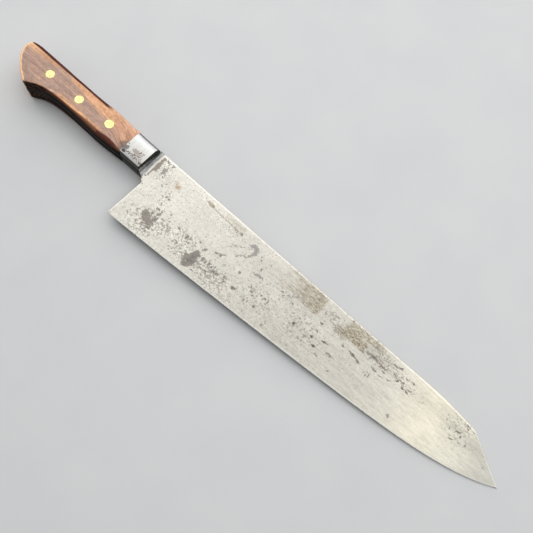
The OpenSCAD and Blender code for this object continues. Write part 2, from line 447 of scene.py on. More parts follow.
def build_blade():
    columns = [body_column(x) for x in blade_stations()]
    body_count = len(columns)
    start = CHOIL_MIDDLE.x
    for k in range(1, 25):
        columns.append(neck_column(mix(start, BOLSTER_FRONT_X, k / 24)))
    bolster_ends = [
        ((x, BOLSTER_HIGH.y), (x, BOLSTER_LOW.y)) for x in (BOLSTER_FRONT_X, BOLSTER_BACK_X)
    ]
    lower, upper = handle_sides()
    for high, low in bolster_ends + list(zip(upper, lower)):
        columns.append(tang_column(high, low))

    skin = Skin()
    right = [skin.add(column) for column in columns]
    left = [skin.add([(x, y, -z) for x, y, z in column]) for column in columns]
    for side in (right, left):
        for k in range(len(columns) - 1):
            count = NECK_COUNT if k >= body_count - 1 else len(side[k])
            skin.strip(side[k][:count], side[k + 1][:count])
    # The spine, and the lower rim from the cutting edge up the heel and along the neck and tang
    skin.strip([row[0] for row in right], [row[0] for row in left])
    body = slice(0, body_count)
    skin.strip([row[-1] for row in right[body]], [row[-1] for row in left[body]])
    heel_right = list(reversed(right[body_count - 1][NECK_COUNT - 1:]))
    heel_left = list(reversed(left[body_count - 1][NECK_COUNT - 1:]))
    rim_right = heel_right + [row[NECK_COUNT - 1] for row in right[body_count:]]
    rim_left = heel_left + [row[NECK_COUNT - 1] for row in left[body_count:]]
    skin.strip(rim_right, rim_left)
    # The blunt end of the tip
    skin.strip(right[0], left[0])
    blade = new_object("blade", skin, 32)
    holes = []
    for place in RIVET_PLACES:
        profile = [(RIVET_TUBE_R + 0.1, -5), (RIVET_TUBE_R + 0.1, 5)]
        holes.append(lathe("hole", rivet_centre(place), profile, 48))
    cut(blade, holes)
    return blade


# ---------------------------------------------------------------- Handle

BELLY_STEPS = 102
BUTT_STEPS = 54
CLOSING_STEPS = 4
OUTLINE_STEPS = BELLY_STEPS + BUTT_STEPS
ROUND_STEPS = 9
CHEEK_ROWS = 16


def handle_sides():
    """The handle's outline as a lower and an upper list, from the bolster to where they meet at the butt."""
    lower = [curve(BELLY_POINTS, k / BELLY_STEPS) for k in range(BELLY_STEPS + 1)]
    lower += [curve(BUTT_POINTS, k / BUTT_STEPS) for k in range(1, BUTT_STEPS + 1)]
    upper = [curve(SPINE_POINTS, k / OUTLINE_STEPS) for k in range(OUTLINE_STEPS + 1)]
    corner = (BUTT_POINTS[-2], BUTT_POINTS[-1], SPINE_POINTS[-1], SPINE_POINTS[-2])
    for k in range(1, CLOSING_STEPS + 1):
        t = k / CLOSING_STEPS / 2
        lower.append(curve_part(*corner, t))
        upper.append(curve_part(*corner, 1 - t))
    lower = [(max(x, BUTT_X), y) for x, y in lower]
    return lower, upper


def handle_half(x):
    return mix(BOLSTER_TOP, HANDLE_TOP, smooth((BOLSTER_BACK_X - x) / SWELL_LEN))


def upper_radius(x):
    swell_x = BOLSTER_BACK_X - SWELL_LEN
    return mix(SPINE_ROUND, SPINE_ROUND_FRONT, smooth((x - swell_x) / SWELL_LEN))


def lower_radius(x):
    t = (x + 43) / 30
    hump = math.cos(math.radians(90 * t)) ** 2 if abs(t) < 1 else 0
    return mix(BELLY_ROUND, BELLY_ROUND_FRONT, hump)


def softened(values, passes):
    """Evens out a list of vectors or numbers, and keeps both ends."""
    for _ in range(passes):
        inner = [(a + 2 * b + c) / 4 for a, b, c in zip(values, values[1:], values[2:])]
        values = [values[0]] + inner + [values[-1]]
    return values


def scale_outline():
    """The outline as one list, with each point's direction into the wood and its edge radius."""
    lower, upper = handle_sides()
    outline = [Vector(p) for p in lower + upper[::-1]]
    count = len(outline)
    inward = [Vector((0, 1))]
    for k in range(1, count - 1):
        d = outline[k + 1] - outline[k - 1]
        if d.length < 1e-6:
            d = outline[k + 2] - outline[k - 2]
        inward.append(Vector((d.y, -d.x)).normalized())
    inward.append(Vector((0, -1)))
    inward = [v.normalized() for v in softened(inward, 12)]
    radius = []
    for k, p in enumerate(outline):
        if k <= BELLY_STEPS:
            radius.append(lower_radius(p.x))
        elif k < len(lower):
            radius.append(BELLY_ROUND)
        else:
            radius.append(upper_radius(p.x))
    return outline, inward, softened(radius, 12)


def cheek_wear(x, y, z):
    """How far the wood has worn below its full size, in mm."""
    return 0.03 + 0.03 * ripple(x, 2 * y, z, 26)


def build_scale(side):
    outline, inward, radius = scale_outline()
    count = len(outline)
    skin = Skin()
    rings = []
    groove = 0.07

    def ring(inset, height):
        """One ring, with inset and height as functions of the edge radius and of handle_half."""
        points = []
        for p, n, r in zip(outline, inward, radius):
            shrink = groove * smooth(1 - (BOLSTER_BACK_X - p.x) / 0.25)
            worn = r * (1 + 0.12 * ripple(p.x, p.y, side, 9))
            q = p + n * (inset(worn) + shrink)
            z = height(handle_half(q.x), worn) - shrink
            points.append((q.x, q.y, side * (z - cheek_wear(q.x, q.y, side) * clamp(z - 3))))
        return skin.add(points)

    rings.append(ring(lambda r: 0, lambda h, r: TANG_HALF))
    rings.append(ring(lambda r: 0, lambda h, r: TANG_HALF + 0.15))
    for k in range(1, 5):
        rings.append(ring(lambda r: 0, lambda h, r: mix(TANG_HALF, h - r, k / 5)))
    for k in range(ROUND_STEPS + 1):
        turn = math.radians(90 * k / ROUND_STEPS)
        rings.append(ring(
            lambda r: r * (1 - math.cos(turn)),
            lambda h, r: h - r * (1 - math.sin(turn)),
        ))
    for a, b in zip(rings, rings[1:]):
        skin.strip(a, b)

    # The cheek, in rows from the lower rounding to the upper one
    top = rings[-1]
    half = count // 2
    lower_edge = top[:half]
    upper_edge = top[:half - 1:-1]
    rows = [lower_edge]
    for k in range(1, CHEEK_ROWS):
        points = []
        for a, b in zip(lower_edge, upper_edge):
            x, y, _ = Vector(skin.points[a]).lerp(Vector(skin.points[b]), k / CHEEK_ROWS)
            shrink = groove * smooth(1 - (BOLSTER_BACK_X - x) / 0.25)
            points.append((x, y, side * (handle_half(x) - shrink - cheek_wear(x, y, side))))
        rows.append(skin.add(points))
    rows.append(upper_edge)
    for a, b in zip(rows, rows[1:]):
        skin.strip(a, b)

    # The face against the tang, and the end against the bolster
    inner = rings[0]
    skin.strip(inner[:half], inner[:half - 1:-1])
    end = [r[0] for r in rings] + [r[0] for r in rows[1:-1]] + [r[-1] for r in rings[::-1]]
    skin.cap(end)
    name = "scale_right" if side > 0 else "scale_left"
    made = new_object(name, skin)

    cutters = []
    for place in RIVET_PLACES:
        centre = rivet_centre(place)
        floor_z = handle_half(centre[0]) - RIVET_HEAD_T
        through = [(RIVET_TUBE_R + 0.02, -side), (RIVET_TUBE_R + 0.02, side * (floor_z + 1))]
        counterbore = [(RIVET_R + 0.05, side * floor_z), (RIVET_R + 0.05, side * 14)]
        cutters.append(lathe("through", centre, through, 48))
        cutters.append(lathe("counterbore", centre, counterbore, 96))
    cut(made, cutters)
    return made


# ---------------------------------------------------------------- Bolster


def bolster_profile(x):
    """The outer faces of one half at one station, from the lower inner corner to the upper one: (y, z)."""
    front = max(0, x - (BOLSTER_FRONT_X - BOLSTER_FRONT_EASE)) / BOLSTER_FRONT_EASE
    inset = BOLSTER_FRONT_EASE * (1 - math.sqrt(max(0, 1 - front ** 2)))
    inset += 0.07 * smooth(1 - (x - BOLSTER_BACK_X) / 0.25)
    radius = mix(SPINE_ROUND_FRONT, BOLSTER_ROUND, smooth((x - BOLSTER_BACK_X) / 7)) - inset
    ease = BOLSTER_EASE - inset
    low = BOLSTER_LOW.y + inset
    high = BOLSTER_HIGH.y - inset
    top = BOLSTER_TOP - inset
    points = [(low, TANG_HALF), (low, 3.5), (low, 5.5), (low, top - ease - 0.5)]
    points += [(low + i, top - d) for i, d in rounding(ease, 5)]
    flat_from = low + ease
    flat_to = high - radius
    points += [(mix(flat_from, flat_to, k / 8), top) for k in range(1, 8)]
    points += [(high - i, top - d) for i, d in reversed(list(rounding(radius, 14)))]
    points += [(high, 2.4), (high, TANG_HALF)]
    return points


def build_bolster(side):
    stations = [BOLSTER_BACK_X + d for d in (0, 0.08, 0.16, 0.25, 0.5)]
    stations += [mix(BOLSTER_BACK_X + 1, BOLSTER_FRONT_X - 0.8, k / 16) for k in range(17)]
    for k in range(7):
        turn = math.radians(90 * k / 6)
        stations.append(BOLSTER_FRONT_X - BOLSTER_FRONT_EASE * (1 - math.sin(turn)))
    skin = Skin()
    rows = []
    for x in stations:
        profile = bolster_profile(x)
        rows.append(skin.add([
            (x, y, side * (z - 0.02 * clamp(z - 3) * (1 + ripple(x, y, side, 7)))) for y, z in profile
        ]))
    for a, b in zip(rows, rows[1:]):
        skin.strip(a, b)
    skin.strip([row[0] for row in rows], [row[-1] for row in rows])
    skin.cap(rows[0])
    skin.cap(rows[-1])
    return new_object("bolster_right" if side > 0 else "bolster_left", skin)


# ---------------------------------------------------------------- Rivets


def head_profile(top, floor_z):
    """A rivet head from its rim's underside to the middle of its face, as (radius, z)."""
    rim = RIVET_R
    return [
        (rim - 0.1, floor_z), (rim, floor_z + 0.1), (rim, top - 0.14), (rim - 0.02, top - 0.07),
        (rim - 0.07, top - 0.025), (rim - 0.16, top - 0.006), (rim - 0.35, top), (2.2, top),
        (1.1, top), (0, top),
    ]


def build_rivet(place, male):
    centre = rivet_centre(place)
    top = handle_half(centre[0])
    floor_z = top - RIVET_HEAD_T

    def follow_cheek(x, y, z):
        """Only the top of a head is ground to the slope of the wood."""
        return (handle_half(x) - top) * clamp((abs(z) - floor_z - 0.5) / 1.5) * (1 if z > 0 else -1)

    if male:
        pin = [(0, -RIVET_PIN_END), (RIVET_PIN_R - RIVET_PIN_BEVEL, -RIVET_PIN_END)]
        pin += [(RIVET_PIN_R, RIVET_PIN_BEVEL - RIVET_PIN_END), (RIVET_PIN_R, floor_z)]
        profile = pin + head_profile(top, floor_z)
        return lathe(f"rivet_{place}_male", centre, profile, RIVET_STEPS, follow_cheek)
    bore = RIVET_PIN_R + RIVET_PIN_PLAY
    bore_end = -RIVET_PIN_END - RIVET_BORE_PAST_PIN
    tube = [(0, bore_end), (bore, bore_end), (bore, floor_z - 0.05)]
    tube += [(RIVET_TUBE_R, floor_z - 0.05), (RIVET_TUBE_R, -floor_z)]
    profile = tube + [(r, -z) for r, z in head_profile(top, floor_z)]
    return lathe(f"rivet_{place}_female", centre, profile, RIVET_STEPS, follow_cheek)


# ---------------------------------------------------------------- Materials


def operation(kind, swapped=False):
    """A Python operator that makes a math node of this kind."""
    def apply(self, other):
        a, b = (other, self) if swapped else (self, other)
        return self.graph.math(kind, a, b)
    return apply


class Value:
    """What a node gives. Sums, products and the like of values are nodes as well."""

    def __init__(self, graph, socket):
        self.graph = graph
        self.socket = socket

    __add__, __radd__ = operation("ADD"), operation("ADD", True)
    __sub__, __rsub__ = operation("SUBTRACT"), operation("SUBTRACT", True)
    __mul__, __rmul__ = operation("MULTIPLY"), operation("MULTIPLY", True)
    __truediv__, __pow__ = operation("DIVIDE"), operation("POWER")

    def __abs__(self):
        return self.graph.math("ABSOLUTE", self)


class Graph:
    """A material's nodes, with short calls for the ones used here. Distances are in drawing millimetres."""

    def __init__(self, name):
        self.material = bpy.data.materials.new(name)
        self.material.use_nodes = True
        self.nodes = self.material.node_tree.nodes
        self.links = self.material.node_tree.links
        self.nodes.clear()
        place = self.new("TexCoord", output="Object")
        self.point = self.stretch(place, (1 / MM,) * 3, -heel_corner / MM)
        self.x, self.y, self.z = self.split(self.point)

    def put(self, socket, value):
        if isinstance(value, Value):
            self.links.new(value.socket, socket)
        elif isinstance(value, tuple) and socket.type == "RGBA":
            socket.default_value = (*value, 1)
        else:
            socket.default_value = value

    def new(self, kind, *inputs, output=0, **settings):
        """Makes a node, fills its first inputs in order (None leaves one alone) and returns what it gives."""
        node = self.nodes.new("ShaderNode" + kind)
        for name, value in settings.items():
            setattr(node, name, value)
        for socket, value in zip(node.inputs, inputs):
            if value is not None:
                self.put(socket, value)
        return Value(self, node.outputs[output])

    def math(self, kind, *inputs, clamped=False):
        return self.new("Math", *inputs, operation=kind, use_clamp=clamped)

    def max(self, a, b, clamped=False):
        return self.math("MAXIMUM", a, b, clamped=clamped)

    def min(self, a, b):
        return self.math("MINIMUM", a, b)

    def dot(self, a, b):
        return self.new("VectorMath", a, b, output="Value", operation="DOT_PRODUCT")

    def stretch(self, vector, scale, shift=(0, 0, 0)):
        """A point scaled by the three numbers, then shifted."""
        return self.new("Mapping", vector, shift, None, scale)

    def join(self, x, y, z):
        return self.new("CombineXYZ", x, y, z)

    def split(self, vector):
        node = self.new("SeparateXYZ", vector).socket.node
        return [Value(self, socket) for socket in node.outputs]

    def noise(self, vector, scale=1, detail=3, rough=0.5):
        return self.new("TexNoise", vector, None, scale, detail, rough)

    def linear(self, value, start, end, low=0, high=1, kind="LINEAR"):
        """low where value is at start and high where it is at end, in proportion between them."""
        return self.new("MapRange", value, start, end, low, high, interpolation_type=kind)

    def step(self, value, start, end, low=0, high=1):
        """The same with a smooth step from low to high."""
        return self.linear(value, start, end, low, high, "SMOOTHSTEP")

    def swing(self, noise, reach):
        """Noise as a number that swings between about -reach and reach."""
        return self.linear(noise, 0.3, 0.7, -reach, reach)

    def window(self, value, start, end, soft_start, soft_end):
        """1 where value lies between start and end, falling to 0 over the two soft lengths outside."""
        return self.step(value, start - soft_start, start) * self.step(value, end, end + soft_end, 1, 0)

    def ramp(self, value, stops):
        """A colour ramp from (position, colour) stops."""
        colour = self.new("ValToRGB", value)
        elements = colour.socket.node.color_ramp.elements
        while len(elements) < len(stops):
            elements.new(0.5)
        for element, (position, stop) in zip(elements, stops):
            element.position = position
            element.color = (*stop, 1)
        return colour

    def blend(self, share, a, b, kind="MIX"):
        """Colour a where share is 0, colour b where it is 1."""
        node = self.nodes.new("ShaderNodeMix")
        node.data_type = "RGBA"
        node.blend_type = kind
        colours = [s for s in node.inputs if s.type == "RGBA"]
        for socket, value in zip((node.inputs[0], *colours), (share, a, b)):
            self.put(socket, value)
        return Value(self, [s for s in node.outputs if s.type == "RGBA"][0])

    def shaded(self, colour, light):
        """A colour times a number."""
        return self.blend(1, colour, self.join(light, light, light), "MULTIPLY")

    def spot(self, point, x, y, length, width, turn, strength):
        """strength in the middle of an ellipse, 0 on its outline and negative outside. turn is in degrees."""
        offset = self.new("VectorMath", point, (x, y, 0), operation="SUBTRACT")
        if turn:
            c, s = math.cos(math.radians(turn)), math.sin(math.radians(turn))
            u = self.dot(offset, (c / length, s / length, 0))
            v = self.dot(offset, (-s / width, c / width, 0))
            reach = self.math("MULTIPLY_ADD", u, u, v * v)
        else:
            scaled = self.new("VectorMath", offset, (1 / length, 1 / width, 0), operation="MULTIPLY")
            reach = self.dot(scaled, scaled)
        return self.math("MULTIPLY_ADD", reach, -strength, strength)

    def spots(self, low, point, patches, *strength):
        """The highest of several spots, and no less than low."""
        for patch in patches:
            low = self.max(low, self.spot(point, *patch, *strength))
        return low

    def normal(self):
        return self.split(self.new("NewGeometry", output="Normal"))

    def bump(self, height, depth_mm):
        bumped = self.new("Bump", 1, depth_mm * MM)
        self.put(bumped.socket.node.inputs["Height"], height)
        return bumped

    def surface(self, **sockets):
        shader = self.new("BsdfPrincipled")
        for key, value in sockets.items():
            self.put(shader.socket.node.inputs[key.replace("_", " ")], value)
        output = self.nodes.new("ShaderNodeOutputMaterial")
        self.put(output.inputs["Surface"], shader)
        return self.material


# What spots() gives away from every spot, so low that grit alone hardly ever makes one
NO_SPOT = -0.3

# Dark marks on the blade, each an ellipse: x, y, half length, half width, turn in degrees, strength
MARKS = [
    # the hand-shaped blotch near the heel
    (19, 16.5, 2.1, 3.7, 15, 0.29), (17.2, 16, 0.9, 2.6, 0, 0.2), (21.3, 13.4, 3.2, 2.4, -25, 0.34),
    (25, 12.4, 3, 2.4, -35, 0.34), (27, 10.6, 1.8, 1.6, -35, 0.27), (26.6, 17.2, 1.9, 3.2, 0, 0.31),
    (26.4, 22.4, 1.1, 3, -10, 0.23), (22.3, 20, 0.9, 2.4, 0, 0.22), (23.2, 24.3, 1.1, 1, 0, 0.19),
    (23, 10.6, 1.4, 0.9, 0, 0.17), (27.6, 7.4, 0.7, 0.9, 0, 0.15), (20.4, 17.6, 2, 1.8, 0, 0.24),
    (22.6, 15.6, 2.2, 2.4, 0, 0.27), (25.2, 14.2, 2.2, 1.8, 0, 0.27), (27.4, 14.4, 1.1, 1.3, 0, 0.2),
    # the dark oval
    (62.5, 9.2, 3.2, 2.4, 15, 0.45), (63.2, 12.8, 4.9, 3.6, 0, 0.58), (63.6, 16.4, 3.5, 3.2, 0, 0.54),
    (64, 19.4, 2.6, 1.9, 0, 0.36), (66.2, 14.8, 2.6, 1.2, -15, 0.36), (59.5, 13.6, 1.8, 2.2, 0, 0.29),
    (68.8, 8.8, 0.9, 0.9, 0, 0.36), (59.9, 10.6, 1.5, 1.6, 0, 0.36), (65.4, 19.6, 1.6, 2, 0, 0.36),
    # dots above it
    (60.3, 27, 1.3, 0.8, 0, 0.45), (66, 25, 0.9, 1.5, -20, 0.4), (32.5, 27.4, 0.8, 0.8, 0, 0.35),
    (43, 24, 1, 0.6, 0, 0.2), (51.3, 23.3, 1.3, 1.4, 0, 0.35), (54.2, 23.5, 1.6, 0.5, 15, 0.25),
    (72.8, 28.6, 1.5, 0.6, 10, 0.4), (76, 29.2, 1.2, 1, 0, 0.42), (78.3, 31.3, 1.3, 0.6, 25, 0.35),
    (48.2, 15, 1.2, 1, 0, 0.2), (35.2, 22.8, 0.8, 0.5, 0, 0.2), (37, 20, 1, 0.5, 0, 0.2),
    # the chain of specks
    (69, 19.5, 1.3, 0.9, 0, 0.3), (72, 19, 0.8, 1.2, 0, 0.3), (74.8, 19.6, 1, 1.1, 0, 0.36),
    (77.6, 19, 1.2, 0.9, 0, 0.36), (80, 17.4, 1.2, 1.3, 0, 0.45), (82.6, 18.2, 1, 1.3, 0, 0.42),
    (79.5, 21, 0.7, 0.9, 0, 0.35), (76, 14, 1.3, 0.9, 0, 0.3), (71.4, 13.6, 0.9, 0.7, 0, 0.25),
    (88, 19.6, 0.7, 1.6, 20, 0.45), (89.8, 17.9, 1.5, 0.6, 0, 0.45), (90, 20.2, 0.6, 0.5, 0, 0.3),
    (96.8, 18, 1.5, 1.1, 25, 0.5), (98.6, 18.9, 1.2, 0.9, 25, 0.5),
    # by the neck
    (6.6, 44.2, 0.7, 0.6, 0, 0.3), (8.9, 43, 0.8, 0.9, 0, 0.24), (4.6, 53.8, 1.5, 0.6, -15, 0.25),
    (9.4, 54.4, 0.4, 1, 0, 0.22), (7.6, 50.8, 1.2, 0.8, 0, 0.08), (3.2, 43.4, 0.7, 0.5, 0, 0.2),
    (2, 30.2, 1, 0.5, -40, 0.22), (13.3, 38.6, 1.2, 0.7, 0, 0.14), (14.6, 40.8, 0.8, 0.5, 20, 0.2),
    (21, 34.5, 0.9, 0.7, 0, 0.2), (20, 30, 0.9, 0.5, 0, 0.2), (24, 34.4, 0.8, 0.6, 0, 0.12),
    (21, 37.2, 0.5, 0.5, 0, 0.16),
    # faint scratches beside the hook
    (82, 42.8, 7, 0.2, 26, 0.1), (84.4, 43.8, 4, 0.2, 32, 0.1), (76, 37.4, 4, 0.2, 50, 0.08),
    # the middle of the blade
    (97, 46.6, 0.4, 1.2, 30, 0.2), (98.6, 45, 0.6, 1.1, 30, 0.26), (103, 40.2, 0.8, 1.4, -10, 0.34),
    (108.6, 34.8, 0.9, 0.6, 0, 0.2), (112, 34.8, 0.7, 0.6, 0, 0.24), (93.6, 28.7, 1.5, 0.7, -30, 0.5),
    (105.8, 26.6, 0.9, 0.8, 0, 0.45), (108, 24.3, 0.9, 0.7, 0, 0.45), (110, 23.3, 0.8, 0.8, 0, 0.45),
    (114.3, 27.3, 0.9, 0.7, 0, 0.42), (117.5, 27, 0.9, 0.7, 0, 0.42), (120.1, 26.6, 0.5, 1.2, 20, 0.4),
    (110, 18, 0.8, 0.9, 0, 0.42), (107.8, 16.8, 0.6, 0.8, 0, 0.26), (115.5, 18.4, 0.9, 1.3, -15, 0.6),
    (123, 38.4, 1, 0.8, 0, 0.5), (125, 37, 0.7, 0.5, 0, 0.26), (133.3, 36.9, 0.9, 0.5, 0, 0.2),
    (105.6, 46.8, 0.7, 0.6, 0, 0.14), (142.5, 32.3, 1.3, 0.6, 0, 0.28), (141.9, 27.7, 1.2, 1.2, 0, 1),
    (127.9, 15.6, 0.8, 0.7, 0, 0.14), (127.4, 12.8, 0.8, 0.6, 0, 0.12), (150.5, 22, 1, 0.5, 0, 0.2),
    (155.8, 39.7, 1.7, 0.9, -20, 0.95), (156.6, 34, 0.9, 0.6, 0, 0.4), (156, 28.8, 1.3, 1.1, 0, 0.95),
    (151.8, 28.8, 2.2, 0.3, 0, 0.14), (160.9, 24.6, 2.1, 0.9, 0, 0.9), (163.8, 31.2, 1.9, 0.8, 5, 0.85),
    (166.8, 31.5, 1.3, 0.4, 5, 0.24), (171.5, 27.3, 3.2, 0.5, -6, 0.34),
    (165.7, 21.7, 1.4, 0.6, -10, 0.46), (177.3, 18.9, 0.9, 0.5, 0, 0.5),
    (174.6, 37.9, 1.1, 0.8, -30, 0.62), (183, 37.6, 3.6, 0.7, -12, 0.8), (188, 36.5, 2.2, 0.7, -12, 0.6),
    (151.6, 26, 2.6, 0.3, 0, 0.1), (145, 28.6, 2, 0.3, 5, 0.12),
    # towards the tip
    (197.2, 33.6, 0.5, 1.3, 0, 0.24), (199, 34.2, 0.9, 0.7, 0, 0.42), (199, 39.3, 2.4, 0.6, -6, 0.42),
    (205.4, 38.7, 1.8, 0.4, 0, 0.26), (210.2, 40.6, 1.7, 0.5, 15, 0.28), (204.6, 42.2, 1.2, 0.5, 0, 0.38),
    (214.8, 44.2, 1, 0.9, 0, 0.55), (203.2, 44.3, 2.5, 0.8, 0, 0.6), (220, 42.6, 1.5, 0.7, 0, 0.65),
    (223.4, 42.2, 1.3, 0.9, -20, 0.85), (224, 49.6, 1.2, 0.7, 0, 0.42), (212.4, 51.8, 1.7, 0.8, 0, 0.42),
    (208.4, 51.2, 2.6, 0.5, 0, 0.36), (219, 49.4, 2.2, 0.5, 0, 0.2), (218, 45.7, 3, 0.5, 0, 0.36),
    (224.6, 44.6, 1.2, 0.6, 0, 0.36), (234.5, 43.5, 1.5, 0.4, 0, 0.2), (262.4, 45.1, 1.9, 0.8, 12, 0.6),
    (264.8, 44, 0.9, 0.8, 0, 0.42), (260.8, 39, 1.4, 0.5, 8, 0.24), (270.8, 41.4, 0.6, 0.6, 0, 0.1),
    (270.6, 52, 0.9, 0.5, 0, 0.26), (265.2, 51.8, 1.2, 0.7, 0, 0.12), (194.6, 45.6, 4.2, 0.9, 0, 0.6),
    (190.2, 45, 2.6, 0.7, 5, 0.45), (185, 43.7, 1.8, 0.7, 10, 0.45), (199.4, 45.4, 1.8, 0.9, -15, 0.45),
    (207, 46.4, 1.4, 0.5, 0, 0.2), (211, 46.2, 1.2, 0.6, 0, 0.26), (192.6, 43.6, 0.8, 0.6, 0, 0.26),
    (76.4, 49, 1.4, 0.8, -10, 0.34), (133, 42.6, 1.2, 0.8, 40, 0.16), (137.4, 42.4, 1, 0.7, 0, 0.16),
]

# Grey stains, lighter than the marks: the hook and its tail, one by the neck and one in the middle
STAINS = [
    (87.6, 48.2, 2.6, 1.5, 20), (90, 48.8, 2.4, 1.7, -5), (92, 47.2, 1.9, 1.8, -60),
    (92.2, 45.2, 2.2, 1.4, 75), (91.2, 42.8, 1.9, 1.1, 65), (90.2, 40.8, 1.6, 0.8, 75),
    (88.2, 39.3, 1.7, 0.6, 5), (85.6, 38, 1.4, 0.5, 50), (84.4, 36.2, 1.4, 0.6, 60),
    (6.4, 47.6, 1.8, 2.1, 0), (6.8, 45.4, 1.5, 1.4, 0), (105.2, 35.7, 3.2, 1.2, 0),
    (102, 34.9, 2.2, 0.7, 0), (4.6, 53.6, 1.7, 0.9, 0), (8.9, 53.4, 0.9, 1.5, 0),
    (223.4, 23.4, 0.8, 1.5, -10), (286.6, 38.6, 1, 0.6, 0),
]

# Places where small dark pits crowd together: x, y, half length, half width, turn
PITTED = [
    (76.5, 18.8, 12, 2.8, 0), (80.5, 16.8, 4.5, 3.4, 0), (24.5, 8.6, 6, 3.4, -20), (18, 8, 3, 4, 0),
    (51.5, 24, 4, 3.6, 0), (58.4, 19.8, 2.6, 2, 0), (36, 18.6, 6.5, 3.2, 20), (46.5, 15.6, 4, 3, 0),
    (22, 35, 2.6, 5, 0), (21.8, 27.4, 2, 3.5, 0), (6.5, 46.6, 3.4, 4.6, 0), (12.8, 39.6, 3, 2.6, 30),
    (83, 12.6, 9, 2.6, 0), (89, 18.8, 3.4, 2.8, 0), (98, 18.4, 3, 2.2, 0), (109, 17.4, 3.4, 2.4, 0),
    (154.6, 46.8, 6, 2.6, 0), (134, 42, 6, 1.8, 0), (163, 44.8, 4, 2.4, 0), (194, 45.6, 9, 1.6, 0),
    (206, 50.8, 8, 1.8, 0), (216, 45.2, 10, 1.8, 0), (262, 45, 5, 2.4, 0), (266, 51.4, 4, 2.2, 0),
    (72, 48.8, 8, 1.6, 0), (107, 25.6, 5, 3, -20), (129, 39, 6, 2.2, 0), (197.5, 35, 3.2, 2.6, 0),
]

# Wider patches where fine, faint specks gather
SPECKLED = [
    (22, 11, 16, 11, 0, 0.125), (35, 18, 10, 7, 0, 0.09), (53, 17, 12, 12, 0, 0.09),
    (80, 15, 20, 8, -3, 0.115), (85, 10, 20, 6, 0, 0.08), (21, 33, 4, 9, 0, 0.08),
    (112, 23, 16, 9, 0, 0.05), (200, 47, 15, 6, 0, 0.11), (197, 50, 9, 4.5, 0, 0.105),
    (218, 46, 14, 5, 0, 0.06), (263, 46, 11, 9, 0, 0.07), (70, 47, 18, 5, 0, 0.04),
    (160, 48, 11, 5, 0, 0.1), (5, 47, 8, 10, 0, 0.07), (134, 42, 9, 3, 0, 0.09), (168, 44, 9, 5, 0, 0.09),
    (148, 28, 16, 10, 0, 0.05), (130, 38, 14, 5, 0, 0.05),
]

# Brown stain where the neck meets the face
NECK_STAIN = [
    (0.7, 46.4, 1.9, 4.4, 8, 0.5), (0.3, 50.5, 1.1, 5.6, 0, 0.5), (-0.2, 41, 0.8, 5, 0, 0.35),
    (0.9, 53.6, 1.3, 1.2, 0, 0.4), (-0.8, 36, 1, 1, 0, 0.3), (-2, 34.2, 1.2, 0.5, -25, 0.2),
]


# The left side's marks are the right side's, turned half round about the middle of these lengths
LEFT_MARKS_X = 285
LEFT_MARKS_Y = 58


def marked_face(g):
    """The blade's face as a plane for its marks, warped so that they get ragged outlines."""
    # The left side carries the same kind of marks in other places
    right_side = g.step(g.z, -0.01, 0.01)
    left_side = 1 - right_side
    other_x = LEFT_MARKS_X - g.x
    other_y = LEFT_MARKS_Y - g.y
    mark_x = g.x * right_side + other_x * left_side
    mark_y = g.y * right_side + other_y * left_side
    warp_x = g.noise(g.point, 0.5, 4, 0.75)
    warp_y = g.noise(g.stretch(g.point, (1, 1, 1), (31, 17, 0)), 0.5, 4, 0.75)
    mark_x += g.linear(warp_x, 0, 1, -2.4, 2.4)
    mark_y += g.linear(warp_y, 0, 1, -2.4, 2.4)
    return g.join(mark_x, mark_y, 0), right_side


